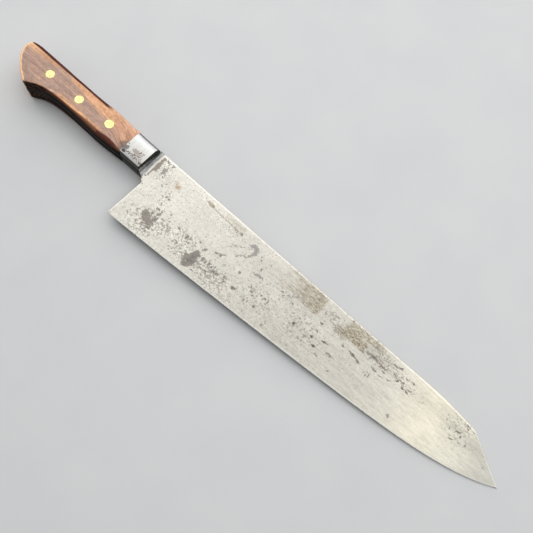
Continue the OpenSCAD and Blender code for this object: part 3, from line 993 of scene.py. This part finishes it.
def oxide_patches(g, flat, coarse, grit):
    """Tan patches that follow the grinding lines, and the weave of their colour."""
    streak = g.noise(g.stretch(g.point, (0.07, 1.3, 1)), 1, 4, 0.6)
    ragged_y = g.y + g.linear(coarse, 0.25, 0.75, -1.6, 1.6)
    ragged_x = g.x + g.linear(coarse, 0.25, 0.75, 2, -2)
    rows = g.swing(streak, -8)
    solid_start = g.x + rows + g.step(g.y, 44.5, 42.5, 0, -6)
    solid = g.step(solid_start, 127, 139) * g.step(ragged_x, 149.8, 149)
    solid *= g.window(ragged_y, 41.6, 55, 0.8, 0.4)
    thin = g.window(g.x, 121, 135, 8, 4) * g.window(g.y, 43, 54.4, 1.5, 1)
    thin *= g.step(streak, 0.42, 0.6, 0, 0.85)
    patch_one = g.max(solid * g.linear(streak, 0.3, 0.7, 0.72, 1), thin)
    upper = g.window(ragged_x, 171, 192, 4, 9) * g.window(ragged_y, 49.6, 55.2, 0.8, 0.5)
    lower = g.window(ragged_x, 170, 186, 2.5, 3) * g.window(ragged_y, 43.6, 50.4, 0.6, 0.7)
    weave = g.noise(g.stretch(g.point, (0.35, 1.1, 1), (3, 7, 0)), 1, 3, 0.65)
    lobe = g.window(ragged_x, 164.5, 171, 1.5, 2) * g.window(ragged_y, 41.8, 46.6, 0.7, 0.8)
    trail = g.window(g.x, 186, 205, 5, 14) * g.window(g.y, 44.4, 52.5, 1.2, 2)
    trail *= g.step(coarse, 0.42, 0.56)
    patch_two = g.max(upper * 0.8, lower * 1.05)
    patch_two = g.max(patch_two, lobe * g.step(coarse, 0.36, 0.54))
    patch_two = g.max(patch_two, trail * 0.34)
    gap = g.window(g.x, 182, 193, 2, 2) * g.window(ragged_y, 49.3, 50.3, 0.6, 0.6)
    patch_two *= g.math("MULTIPLY_ADD", gap, -0.75, 1)
    smear = g.step(g.spot(flat, 46.9, 51.2, 4, 1.3, -6, 0.8) + grit * 0.8, 0, 0.3)
    thread_y = g.y + g.linear(g.x, 50, 76, 0, 1.2)
    thread = g.window(g.x, 50, 72, 2, 6) * g.window(thread_y, 50.2, 50.6, 0.4, 0.4)
    ghost = g.window(ragged_x, 61, 76, 2, 3) * g.window(ragged_y, 51.6, 53.8, 0.6, 0.6)
    line = g.max(smear * 0.9, thread * 0.75)
    line = g.max(line, ghost * 0.4)
    tan = g.max(patch_one, patch_two)
    tan *= g.linear(weave, 0.35, 0.65, 1.12, 0.72)
    return g.max(tan, line, clamped=True), weave


def rust_spot(g, flat, grit):
    rust = g.spot(flat, 21.4, 44.9, 2.3, 1.9, 0, 0.9) + grit * 0.8
    halo = g.spot(flat, 20, 45.6, 3.6, 3.2, 0, 0.35) + grit * 0.5
    return g.max(g.max(rust, halo), 0, clamped=True)


def ground_steel(g, zone, lines, fine):
    """Grinding lines along the blade, over a slow change from white to cream that is partly a painted
    reflection.
    """
    cloud = g.noise(g.stretch(g.point, (0.6, 1, 1)), 0.09, 3)
    mottle = g.noise(g.stretch(g.point, (1, 1.15, 1), (9, 3, 0)), 0.45, 3, 0.7)
    brushed = g.noise(g.stretch(g.point, (0.12, 1.1, 1)), 1, 3, 0.6)
    scuff = g.noise(g.stretch(g.point, (1, 1, 1), (5, 5, 0)), 0.2, 2)
    along = g.x / BLADE_LEN
    # Its bright, warm stretch towards the tip is a painted highlight
    steel = g.ramp(along, [
        (0, (0.505, 0.483, 0.43)), (0.12, (0.5, 0.48, 0.43)), (0.3, (0.445, 0.426, 0.378)),
        (0.45, (0.405, 0.387, 0.342)), (0.64, (0.405, 0.388, 0.342)), (0.72, (0.46, 0.438, 0.378)),
        (0.81, (0.575, 0.54, 0.44)), (0.88, (0.53, 0.506, 0.425)), (0.97, (0.435, 0.423, 0.372)),
    ])
    # Painted lighter and darker bands across the blade's height, a painted highlight along the spine that
    # follows its fall to the tip, and a darker patch towards the tip
    spine_fall = g.max(g.linear(g.x, CLIP_X - SPINE_CURVE_LEN, CLIP_X), 0)
    risen_y = g.math("MULTIPLY_ADD", spine_fall ** 2, CLIP_DROP, g.y)
    reflection_level = g.ramp(risen_y / BLADE_H, [
        (0, (0.92,) * 3), (0.12, (0.87,) * 3), (0.35, (0.885,) * 3), (0.6, (0.925,) * 3),
        (0.84, (0.9,) * 3), (0.94, (0.975,) * 3), (0.975, (0.985,) * 3), (0.985, (1.3,) * 3),
    ])
    reflection_level -= g.step(g.x, 215, 262) * g.step(g.y, 34, 50) * 0.16
    shade = g.swing(lines, 0.035) + g.swing(cloud, 0.04)
    uneven = g.math("MULTIPLY_ADD", g.max(zone, 0), 8, g.step(scuff, 0.35, 0.6, 0.35, 0.8))
    uneven *= g.linear(g.x, 90, 240, 1, 0.45)
    shade += g.swing(mottle, 0.17) * uneven
    shade += g.swing(brushed, 0.11) * g.step(g.x, 90, 130)
    shade += g.swing(fine, -0.1) * uneven
    shade += reflection_level
    return g.shaded(steel, shade), along


def fresh_edges(g, steel, along):
    """The last millimetre before the cutting edge and the heel's face are freshly ground; the light line
    along the clip is a painted highlight.
    """
    u = g.max(along, 0)
    edge_line = g.math("MULTIPLY_ADD", u ** EDGE_POWER, EDGE_RISE, u ** TIP_SHARPNESS * (TIP_Y - EDGE_RISE))
    to_edge = g.y - edge_line
    to_heel = g.x - g.y * HEEL_LEAN
    to_heel += g.step(g.y, 28, 33, 0, 9)
    fresh_and_highlight = g.step(g.min(to_edge, to_heel), 1.5, 0.7)
    # A painted highlight along the clip
    past_clip = (g.x - CLIP_X) / CLIP_LEN
    to_clip = g.linear(past_clip, 0, 1, BLADE_H - CLIP_DROP, TIP_Y) - g.y
    clip_highlight = g.step(to_clip, 1, 0.5) * g.step(past_clip, 0, 0.05, 0, 1.4)
    fresh_and_highlight = g.max(fresh_and_highlight, clip_highlight)
    return g.blend(fresh_and_highlight * 0.55, steel, (0.6, 0.585, 0.53))


def neck_steel(g, steel, grit):
    """The neck: grey from rough grinding, with a bright ridge that is a painted highlight, and a brown stain
    where it meets the face.
    """
    cross = g.noise(g.stretch(g.point, (1.7, 0.1, 1)), 1, 3, 0.6)
    blotch = g.noise(g.stretch(g.point, (0.9, 0.35, 1)), 1, 3, 0.6)
    neck_tone = cross * 0.6 + blotch * 0.4
    neck_tone += g.step(g.y, 42, 37) * g.step(g.x, -3.2, -4.2) * 0.12
    grey = g.ramp(neck_tone, [
        (0.36, (0.085, 0.092, 0.088)), (0.5, (0.19, 0.195, 0.188)), (0.66, (0.36, 0.365, 0.35)),
    ])
    steel = g.blend(g.step(g.x, -1.2, -2.2), steel, grey)
    # The bright ridge line is a painted highlight
    ridge = g.window(g.x, -2.05, -1.75, 0.35, 0.3) * g.step(g.y, 39, 43)
    steel = g.blend(ridge * 0.75, steel, (0.45, 0.44, 0.39))
    brown = g.step(g.spots(NO_SPOT, g.point, NECK_STAIN) + grit * 0.9, -0.05, 0.22)
    return g.blend(brown * 0.95, steel, (0.178, 0.154, 0.132))


def tang_rims(g, steel, fine):
    """The rims of the tang, between bolster and scales, are oxidised; their near-black at the belly is
    painted shade.
    """
    hidden = g.step(g.x, BOLSTER_FRONT_X + 0.02, BOLSTER_FRONT_X - 0.1)
    nx, ny, _ = g.normal()
    # Painted shade on the rims that face the belly
    belly = g.step(ny, -0.2, -0.4) * g.step(nx, -0.55, -0.45)
    oxidised = g.blend(g.linear(fine, 0.35, 0.65), (0.07, 0.064, 0.058), (0.125, 0.112, 0.098))
    return g.blend(hidden, steel, g.blend(belly, oxidised, (0.022, 0.02, 0.019))), hidden


def worn_blade_steel():
    g = Graph("worn_blade_steel")
    flat, right_side = marked_face(g)
    density = g.spots(NO_SPOT, flat, MARKS)
    for patch in PITTED:
        density = g.max(density, g.spot(flat, *patch, 0.2) - 0.235)
    pale_stain = g.spots(-0.5, flat, STAINS, 0.5)
    zone = g.spots(g.linear(g.x, 150, 230, -0.01, -0.1), flat, SPECKLED)
    coarse = g.noise(g.point, 0.62, 4, 0.7)
    fine = g.noise(g.stretch(g.point, (1, 1.2, 1), (40, 11, 0)), 0.78, 2, 0.6)
    lines = g.noise(g.stretch(g.point, (0.035, 5, 5)), 1, 4, 0.7)
    coarse_grit = coarse - 0.5
    fine_grit = fine - 0.5
    grit = coarse_grit * 1.05 + fine_grit * 0.95
    depth = density + grit
    stain = g.step(depth, -0.05, 0.05)
    speck = g.step(zone + fine_grit, 0.1, 0.16)
    tan, weave = oxide_patches(g, flat, coarse, grit)
    tan *= right_side
    rust = rust_spot(g, flat, grit)

    steel, along = ground_steel(g, zone, lines, fine)
    steel = fresh_edges(g, steel, along)
    oxide = g.ramp(weave * 0.55 + fine * 0.45, [
        (0.41, (0.135, 0.112, 0.08)), (0.5, (0.252, 0.213, 0.15)), (0.585, (0.44, 0.395, 0.308)),
    ])
    steel = g.blend(tan * 0.88, steel, oxide)
    steel = g.blend(rust * 0.9, steel, (0.25, 0.148, 0.064))
    steel = g.blend(speck * 0.68, steel, (0.175, 0.162, 0.14))
    pale_stain = g.step(pale_stain + grit, -0.02, 0.16)
    stain_grey = g.blend(g.linear(fine, 0.3, 0.7), (0.148, 0.143, 0.133), (0.235, 0.226, 0.21))
    steel = g.blend(pale_stain * 0.88, steel, stain_grey)
    dark = g.ramp(depth + g.swing(lines, 0.05), [
        (0, (0.29, 0.265, 0.232)), (0.16, (0.23, 0.206, 0.181)), (0.45, (0.188, 0.169, 0.151)),
        (0.8, (0.122, 0.115, 0.103)), (1, (0.07, 0.067, 0.063)),
    ])
    steel = g.blend(stain, steel, dark)
    steel = neck_steel(g, steel, grit)
    steel, hidden = tang_rims(g, steel, fine)

    marked = g.max(stain, tan)
    rough = g.linear(lines, 0.3, 0.7, 0.32, 0.42) + marked * 0.1
    rough += hidden * 0.3
    height = lines - stain * 0.8
    return g.surface(
        Base_Color=steel,
        Metallic=g.linear(stain, 0, 1, 1, 0.75),
        Roughness=rough,
        Normal=g.bump(height, 0.006),
    )


def worn_bolster_steel():
    g = Graph("worn_bolster_steel")
    brushed = g.noise(g.stretch(g.point, (1.6, 0.16, 0.16)), 1, 4, 0.65)
    coarse = g.noise(g.point, 0.9, 4, 0.7)
    fine = g.noise(g.stretch(g.point, (1, 1, 1), (9, 4, 2)), 1.2, 3, 0.6)
    grit = (coarse - 0.5) * 1.1 + (fine - 0.5) * 0.8
    flat = g.join(g.x, g.y, 0)
    light_rust = g.spots(NO_SPOT, flat, [
        (-14.6, 42.2, 3.4, 2, 0, 0.48), (-11.4, 41.4, 4.4, 3.4, -20, 0.19), (-12, 38.6, 7.5, 1.6, -4, 0.13),
        (-6.9, 38, 2.4, 2, 0, 0.22), (-17.4, 38.6, 2.4, 1.6, 0, 0.14),
    ])
    light_rust = g.step(light_rust + grit, -0.02, 0.22)
    pits = g.spots(NO_SPOT, flat, [
        (-13, 38.2, 6, 0.8, -5, 0.13), (-11.7, 43.7, 1.1, 0.9, 0, 0.3), (-9.6, 44, 1.1, 0.6, 20, 0.26),
        (-19.2, 38.3, 1.2, 0.5, 20, 0.24), (-6.6, 37.6, 1.2, 0.9, -30, 0.24),
        (-14.4, 39.4, 1.8, 0.6, 30, 0.2), (-14.6, 38.4, 1.2, 0.6, -30, 0.3),
        (-17.2, 38, 0.8, 0.6, 0, 0.26), (-11, 40.6, 2.2, 0.5, 10, 0.16),
    ])
    pits = g.step(pits + grit, 0.02, 0.16)
    corner = g.max(g.spot(flat, -22.6, 40.6, 2.4, 3.6, 0, 0.6), g.spot(flat, -21.6, 37.4, 1.9, 1.3, 0, 0.9))
    corner -= g.max(g.spot(flat, -22.8, 42.6, 1.1, 0.9, 20, 1.2), 0)
    corner = g.step(corner + grit * 1.3, -0.02, 0.3)
    deep = g.spot(flat, -21.6, 37.2, 1.7, 1, -15, 0.6) + grit * 0.9
    deep = g.step(deep, 0, 0.25)

    # The colour across the top is a painted reflection: darker towards the lower edge, a painted highlight on
    # the spine-side rounding and painted shade at its far edge
    across = (g.y - 34) / 22
    steel = g.ramp(across, [
        (0.04, (0.2, 0.2, 0.19)), (0.16, (0.3, 0.297, 0.285)), (0.28, (0.4, 0.395, 0.375)),
        (0.5, (0.42, 0.415, 0.395)), (0.62, (0.46, 0.455, 0.435)), (0.7, (0.52, 0.518, 0.5)),
        (0.79, (0.6, 0.6, 0.58)), (0.865, (0.57, 0.58, 0.57)), (0.9, (0.28, 0.285, 0.28)),
        (0.96, (0.12, 0.12, 0.12)),
    ])
    steel = g.shaded(steel, g.linear(brushed, 0.3, 0.7, 0.87, 1.07))
    steel = g.blend(light_rust * 0.7, steel, (0.205, 0.17, 0.145))
    steel = g.blend(pits * 0.9, steel, (0.08, 0.058, 0.048))
    steel = g.blend(corner * 0.92, steel, (0.105, 0.097, 0.088))
    steel = g.blend(deep * 0.85, steel, (0.03, 0.03, 0.026))
    # The front and lower faces were never polished, and their near-black colour is a painted dark reflection
    front = g.step(g.x, BOLSTER_FRONT_X - 0.32, BOLSTER_FRONT_X - 0.1)
    wall_z = abs(g.z) + g.swing(coarse, 1.8)
    wall_z += g.linear(g.y, 40, 52, 0, 3.3)
    ground_off = g.step(wall_z, 5.2, 4.3) * front
    under = g.step(g.y, BOLSTER_LOW.y + 0.35, BOLSTER_LOW.y + 0.08)
    unpolished_dark_reflection = g.max(front, under)
    dark_reflection_tone = g.ramp(coarse * 0.6 + fine * 0.4, [
        (0.42, (0.012, 0.012, 0.01)), (0.52, (0.04, 0.039, 0.034)), (0.62, (0.13, 0.13, 0.11)),
    ])
    steel = g.blend(unpolished_dark_reflection, steel, dark_reflection_tone)
    steel = g.blend(ground_off * 0.9, steel, (0.6, 0.6, 0.58))
    rough = g.linear(brushed, 0.3, 0.7, 0.25, 0.34) + light_rust * 0.12
    rough += unpolished_dark_reflection * 0.25
    height = brushed - (pits + unpolished_dark_reflection * coarse)
    return g.surface(
        Base_Color=steel,
        Metallic=g.linear(unpolished_dark_reflection, 0, 1, 1, 0.6),
        Roughness=rough,
        Normal=g.bump(height, 0.008),
    )


def orange_wood(g, grain_y, streak, curl, ny):
    """The cheek is worn pale, and oranger towards the spine, the bolster and the lower edge. The orange bands
    along the spine and the lower edge are partly painted highlights where the cheek turns into its roundings.
    """
    high_start = g.step(g.x, -80, -62, 48.4, 45.8)
    bare = g.window(g.x, -97, -89, 8, 7)
    high_start += bare * 2.2
    high_start += g.swing(streak, -1.5)
    high = g.step(grain_y - high_start, -0.6, 1.6)
    high *= g.math("MULTIPLY_ADD", bare, -0.5, 1)
    high -= g.step(curl, 0.5, 0.62) * g.step(g.x, -96, -108, 0.15, 0.7)
    high = g.max(high, 0)
    low = g.step(g.y, 38.8, 36.2) * g.window(g.x, -80, -46, 10, 8)
    # Orange on faces that turn towards the belly is a painted highlight
    low = g.max(low, g.window(g.x, -104, -80, 5, 8) * g.step(ny, 0.02, -0.25, 0, 0.6))
    front = g.step(g.x, -46, -34) * g.step(grain_y, 40, 49, 0.15, 0.85)
    orange = g.max(g.max(high, low), front)
    return g.math("ADD", orange, g.swing(streak, 0.22), clamped=True)


def pale_butt(g, wood, flat, streak, curl):
    """The butt's corner is worn to the palest wood, and a band along its edge even more."""
    corner = g.step(g.x, -114, -125) * g.step(g.y + g.swing(streak, 2), 46.5, 49.5)
    corner *= g.linear(curl, 0.42, 0.58, 1, 0.1)
    wood = g.blend(corner * 0.8, wood, (0.88, 0.51, 0.27))
    outside = -9
    for a, b in zip(BUTT_POINTS, BUTT_POINTS[1:]):
        length = math.hypot(b[0] - a[0], b[1] - a[1])
        out_x, out_y = (a[1] - b[1]) / length, (b[0] - a[0]) / length
        reach = g.dot(flat, (out_x, out_y, 0))
        outside = g.max(outside, reach - (a[0] * out_x + a[1] * out_y))
    rim = outside + g.swing(streak, 0.35)
    return g.blend(g.step(rim, -2.1, -1.2) * 0.95, wood, (0.99, 0.6, 0.33)), rim


def painted_shade_sides(g, wood, rim, nx, ny, fibre, streak, curl):
    """Painted shade on the wood: the spine's side behind the front rivet, the belly, the lower edge by the
    bolster and a facet by the bolster.
    """
    dark_tone = fibre * 0.5 + streak * 0.5
    # The colour of the painted shade on the spine's side
    spine_shade_colour = g.ramp(dark_tone, [
        (0.38, (0.04, 0.012, 0.009)), (0.5, (0.085, 0.026, 0.018)), (0.62, (0.15, 0.05, 0.034)),
    ])
    # The colour of the painted shade on the belly
    belly_shade_colour = g.ramp(dark_tone, [
        (0.38, (0.002, 0.0015, 0.0012)), (0.52, (0.004, 0.002, 0.0016)), (0.66, (0.016, 0.007, 0.005)),
    ])
    # Lighter patches in the belly's painted shade
    paler_in_shade = g.step(g.x, -88, -100) * g.step(curl, 0.45, 0.58)
    belly_shade_colour = g.blend(paler_in_shade * 0.85, belly_shade_colour, (0.085, 0.042, 0.027))
    # The painted shade on the belly turns from brown at the cheeks to black in the middle
    brown_edge = g.step(abs(g.z) + g.swing(streak, 0.8), 4, 9)
    brown_edge *= g.window(g.x, -90, -20, 7, 6)
    belly_shade_colour = g.blend(brown_edge, belly_shade_colour, (0.1, 0.036, 0.02))
    # Painted shade on the spine's side behind the front rivet, and on faces that turn towards the spine
    behind = g.step(g.x, -46, -54)
    ragged = g.y + g.swing(streak, 0.35)
    spine_shade = g.step(ragged, 51.9, 52.6) * behind
    spine_front = g.step(ny, 0.8, 0.97) * 0.7
    spine_shade = g.max(spine_shade, spine_front) * g.step(rim, 0.4, -0.9)
    # Painted shade on faces that turn towards the belly, and along the lower edge by the bolster
    middle = g.window(g.x, -94, -20, 10, 6)
    low_shade = g.step(ny, 0, -0.55) * middle
    low_shade = g.max(low_shade, g.step(g.y, 36.2, 34.6) * g.step(g.x, -34, -28, 0, 0.8))
    wood = g.blend(low_shade * 0.9, wood, (0.18, 0.068, 0.035))
    # The dark facet by the bolster is painted shade on the lower rounding
    facet_top = g.y + g.swing(streak, 0.7)
    facet_top -= g.linear(g.x, -46, -38, -1, 0.6)
    facet = g.window(g.x, -44.5, -31, 1.2, 7) * g.step(facet_top, 36.3, 35.5)
    wood = g.blend(facet * 0.94, wood, (0.112, 0.034, 0.025))
    # Near-black painted shade on the belly and on the low front end
    end_cap = g.step(nx, 0.2, 0.5) * g.step(g.y, 36, 35)
    low_ny = ny + g.step(g.x, -84, -74, 0, 0.15)
    belly_shade = g.max(g.step(low_ny, -0.5, -0.8), end_cap)
    belly_shade *= g.step(rim, 0.4, -0.9)
    wood = g.blend(spine_shade, wood, spine_shade_colour)
    return g.blend(belly_shade, wood, belly_shade_colour), g.max(g.max(spine_shade, belly_shade), facet)


def scarred(g, wood, flat, fibre):
    """Chips at the lower edge, a small pit and a crack."""
    chips = g.spot(flat, -89, 35, 3.4, 0.9, 14, 0.4)
    chips = g.step(chips + g.swing(fibre, 0.25), 0, 0.25)
    wood = g.blend(chips * 0.55, wood, (0.85, 0.58, 0.44))
    pit = g.step(g.spot(flat, -100.6, 35, 1.2, 0.7, -20, 0.6), 0, 0.5)
    crack = g.step(g.spot(flat, -55.5, 49.6, 4.2, 0.35, 0, 0.6), 0, 0.5)
    scar = g.max(pit, crack)
    return g.blend(scar * 0.4, wood, (0.16, 0.08, 0.06)), scar


def worn_rosewood():
    g = Graph("worn_rosewood")
    # The grain runs along the handle and sinks towards the belly near the bolster
    near_bolster = g.max(0, g.x + 44)
    sink = near_bolster ** 2 * 0.014
    wander = g.noise(g.stretch(g.point, (0.03, 0.05, 0.05)), 1, 2)
    grain_y = g.y + sink + g.swing(wander, 0.8)
    grain = g.join(g.x, grain_y, g.z)
    broad = g.noise(g.stretch(grain, (0.02, 0.3, 0.3)), 1, 3, 0.55)
    streak = g.noise(g.stretch(grain, (0.045, 1, 1), (3, 1, 0)), 1, 4, 0.6)
    fibre = g.noise(g.stretch(grain, (0.16, 3.2, 3.2)), 1, 3, 0.6)
    pores = g.noise(g.stretch(grain, (0.34, 5.5, 5.5), (0, 7, 2)), 1, 2, 0.5)
    mottle = g.noise(g.point, 0.35, 3, 0.6)
    curl = g.noise(g.stretch(grain, (0.7, 1, 1), (5, 2, 0)), 0.62, 3, 0.65)
    nx, ny, _ = g.normal()

    orange = orange_wood(g, grain_y, streak, curl, ny)
    # The pale pinkish colour of the worn cheek is partly a painted sheen
    wood = g.blend(orange, (0.405, 0.268, 0.211), (0.66, 0.358, 0.2))
    tone = broad * 0.45 + streak * 0.35
    tone += fibre * 0.2
    light = g.linear(tone, 0.36, 0.64, 0.76, 1.22)
    light += g.swing(mottle, 0.05)
    light += g.window(g.x, -97, -48, 10, 8) * 0.11
    light += g.step(g.x, -44, -34) * g.linear(g.y, 40, 50, -0.09, 0.1)
    light += g.swing(curl, 0.26) * g.linear(orange, 0, 1, 0.7, 1.2)
    wood = g.shaded(wood, light)
    # Pale streaks along the grain
    pale = g.step(streak, 0.58, 0.7) * (0.25 + orange * 0.5)
    by_bolster = g.step(g.x, -44, -34)
    wood = g.blend(pale, wood, g.blend(by_bolster, (0.82, 0.48, 0.27), (0.84, 0.5, 0.36)))
    # Darker rings curve down to the bolster, with pinkish wood between them
    rings = g.noise(g.stretch(grain, (0.05, 1.5, 1.5), (8, 3, 0)), 1, 2, 0.5)
    pinkish = g.step(rings, 0.54, 0.42) * (by_bolster * 0.6)
    wood = g.blend(pinkish, wood, (0.63, 0.375, 0.285))
    ring = g.step(rings, 0.53, 0.62) * g.math("MULTIPLY_ADD", by_bolster, 0.44, 0.14)
    wood = g.blend(ring, wood, (0.27, 0.125, 0.075))
    pore = g.step(pores, 0.6, 0.72)
    wood = g.blend(pore * 0.22, wood, (0.13, 0.065, 0.045))

    # A grey smudge beside the bolster's lower corner
    flat = g.join(g.x, g.y, 0)
    smudge = g.spot(flat, -23, 40, 5.6, 5.6, 0, 1.35) + g.swing(curl, 0.8)
    smudge = g.step(smudge, -0.2, 1.35)
    wood = g.blend(smudge * 0.88, wood, (0.155, 0.122, 0.102))
    wood, rim = pale_butt(g, wood, flat, streak, curl)
    # Painted shade on the sides, which are also made duller
    wood, dull_and_shaded = painted_shade_sides(g, wood, rim, nx, ny, fibre, streak, curl)
    wood, scar = scarred(g, wood, flat, fibre)
    height = fibre - (pore * 0.5 + scar * 1.5)
    return g.surface(
        Base_Color=wood,
        Roughness=g.linear(tone, 0.36, 0.64, 0.44, 0.38) + dull_and_shaded * 0.5,
        IOR=1.5,
        Specular_IOR_Level=0.15,
        Normal=g.bump(height, 0.03),
    )


def worn_brass():
    g = Graph("worn_brass")
    coarse = g.noise(g.point, 0.9, 3, 0.6)
    scratches = g.noise(g.stretch(g.point, (0.5, 5, 5)), 1, 3, 0.6)
    tone = coarse * 0.65 + scratches * 0.35
    metal = g.ramp(tone, [(0.4, (0.5, 0.43, 0.17)), (0.5, (0.6, 0.54, 0.245)), (0.6, (0.72, 0.67, 0.34))])
    return g.surface(
        Base_Color=metal,
        Metallic=1,
        Roughness=g.linear(tone, 0.35, 0.65, 0.34, 0.26),
        Normal=g.bump(scratches, 0.004),
    )


def pale_floor():
    g = Graph("floor")
    mottle = g.noise(g.point, 0.02, 3)
    colour = g.ramp(mottle, [(0.3, (0.585, 0.585, 0.585)), (0.7, (0.61, 0.61, 0.605))])
    return g.surface(Base_Color=colour, Roughness=0.8)


# ---------------------------------------------------------------- Stage, light and camera

# The knife rests on the widest part of its cheek and on its tip, so the floor rises towards the tip
REST_X = -52
FLOOR_SLOPE = 0.0277
FLOOR_REACH = 4000


def build_floor(material):
    low_z = -HANDLE_TOP
    skin = Skin()
    corners = []
    for x, y in ((-1, -1), (1, -1), (1, 1), (-1, 1)):
        z = low_z + (x * FLOOR_REACH - REST_X) * FLOOR_SLOPE
        corners.append((x * FLOOR_REACH, y * FLOOR_REACH, z))
    skin.cap(skin.add(corners))
    floor = new_object("floor", skin)
    if floor.data.polygons[0].normal.z < 0:
        floor.data.flip_normals()
    floor.data.materials.append(material)


# The camera's place in drawing mm, its lens and sensor in mm and its angles in degrees
CAMERA_PLACE = (160.1, -55, 360.3)
CAMERA_LENS = 38.5
CAMERA_SENSOR = 36
CAMERA_HEADING = 119.706
CAMERA_PITCH = 72.394
CAMERA_ROLL = 12.688


def build_camera():
    data = bpy.data.cameras.new("camera")
    data.lens = CAMERA_LENS
    data.sensor_width = CAMERA_SENSOR
    camera = bpy.data.objects.new("camera", data)
    bpy.context.scene.collection.objects.link(camera)
    heading, pitch, roll = (math.radians(a) for a in (CAMERA_HEADING, CAMERA_PITCH, CAMERA_ROLL))
    turn = Matrix.Rotation(heading - math.pi / 2, 4, "Z")
    turn = turn @ Matrix.Rotation(math.pi / 2 - pitch, 4, "X") @ Matrix.Rotation(roll, 4, "Z")
    camera.matrix_world = Matrix.Translation(at(*CAMERA_PLACE)) @ turn
    data.clip_start = 0.01
    bpy.context.scene.camera = camera


def add_softbox(name, centre, target, length, width, radiance):
    """A rectangular light that shines from centre to target, with its length along the knife."""
    data = bpy.data.lights.new(name, "AREA")
    data.shape = "RECTANGLE"
    data.size = length * MM
    data.size_y = width * MM
    data.energy = radiance * math.pi * data.size * data.size_y
    light = bpy.data.objects.new(name, data)
    bpy.context.scene.collection.objects.link(light)
    back = (at(*centre) - at(*target)).normalized()
    across = back.cross(Vector((1, 0, 0))).normalized()
    along = across.cross(back)
    light.matrix_world = Matrix.Translation(at(*centre)) @ Matrix((along, across, back)).transposed().to_4x4()


def build_lights():
    world = bpy.data.worlds.new("studio")
    world.use_nodes = True
    background = world.node_tree.nodes["Background"]
    background.inputs["Color"].default_value = (0.93, 0.96, 1.0, 1)
    background.inputs["Strength"].default_value = 0.3
    bpy.context.scene.world = world
    add_softbox("softbox", (-100, 200, 1000), (80, 30, 0), 2400, 860, 1.7)
    add_softbox("side_window", (60, 1500, 900), (60, 0, 0), 3000, 1900, 1.25)
    bpy.context.scene.view_settings.view_transform = "Standard"


# ---------------------------------------------------------------- Everything

build_camera()
build_lights()
build_floor(pale_floor())

blade_finish = worn_blade_steel()
bolster_finish = worn_bolster_steel()
wood_finish = worn_rosewood()
brass_finish = worn_brass()

add_piece("blade", build_blade(), blade_finish)
for side, word in ((1, "right"), (-1, "left")):
    add_piece(f"bolster_{word}", build_bolster(side), bolster_finish)
    add_piece(f"scale_{word}", build_scale(side), wood_finish)
for place in RIVET_PLACES:
    for male, word in ((True, "male"), (False, "female")):
        add_piece(f"rivet_{place}_{word}", build_rivet(place, male), brass_finish)
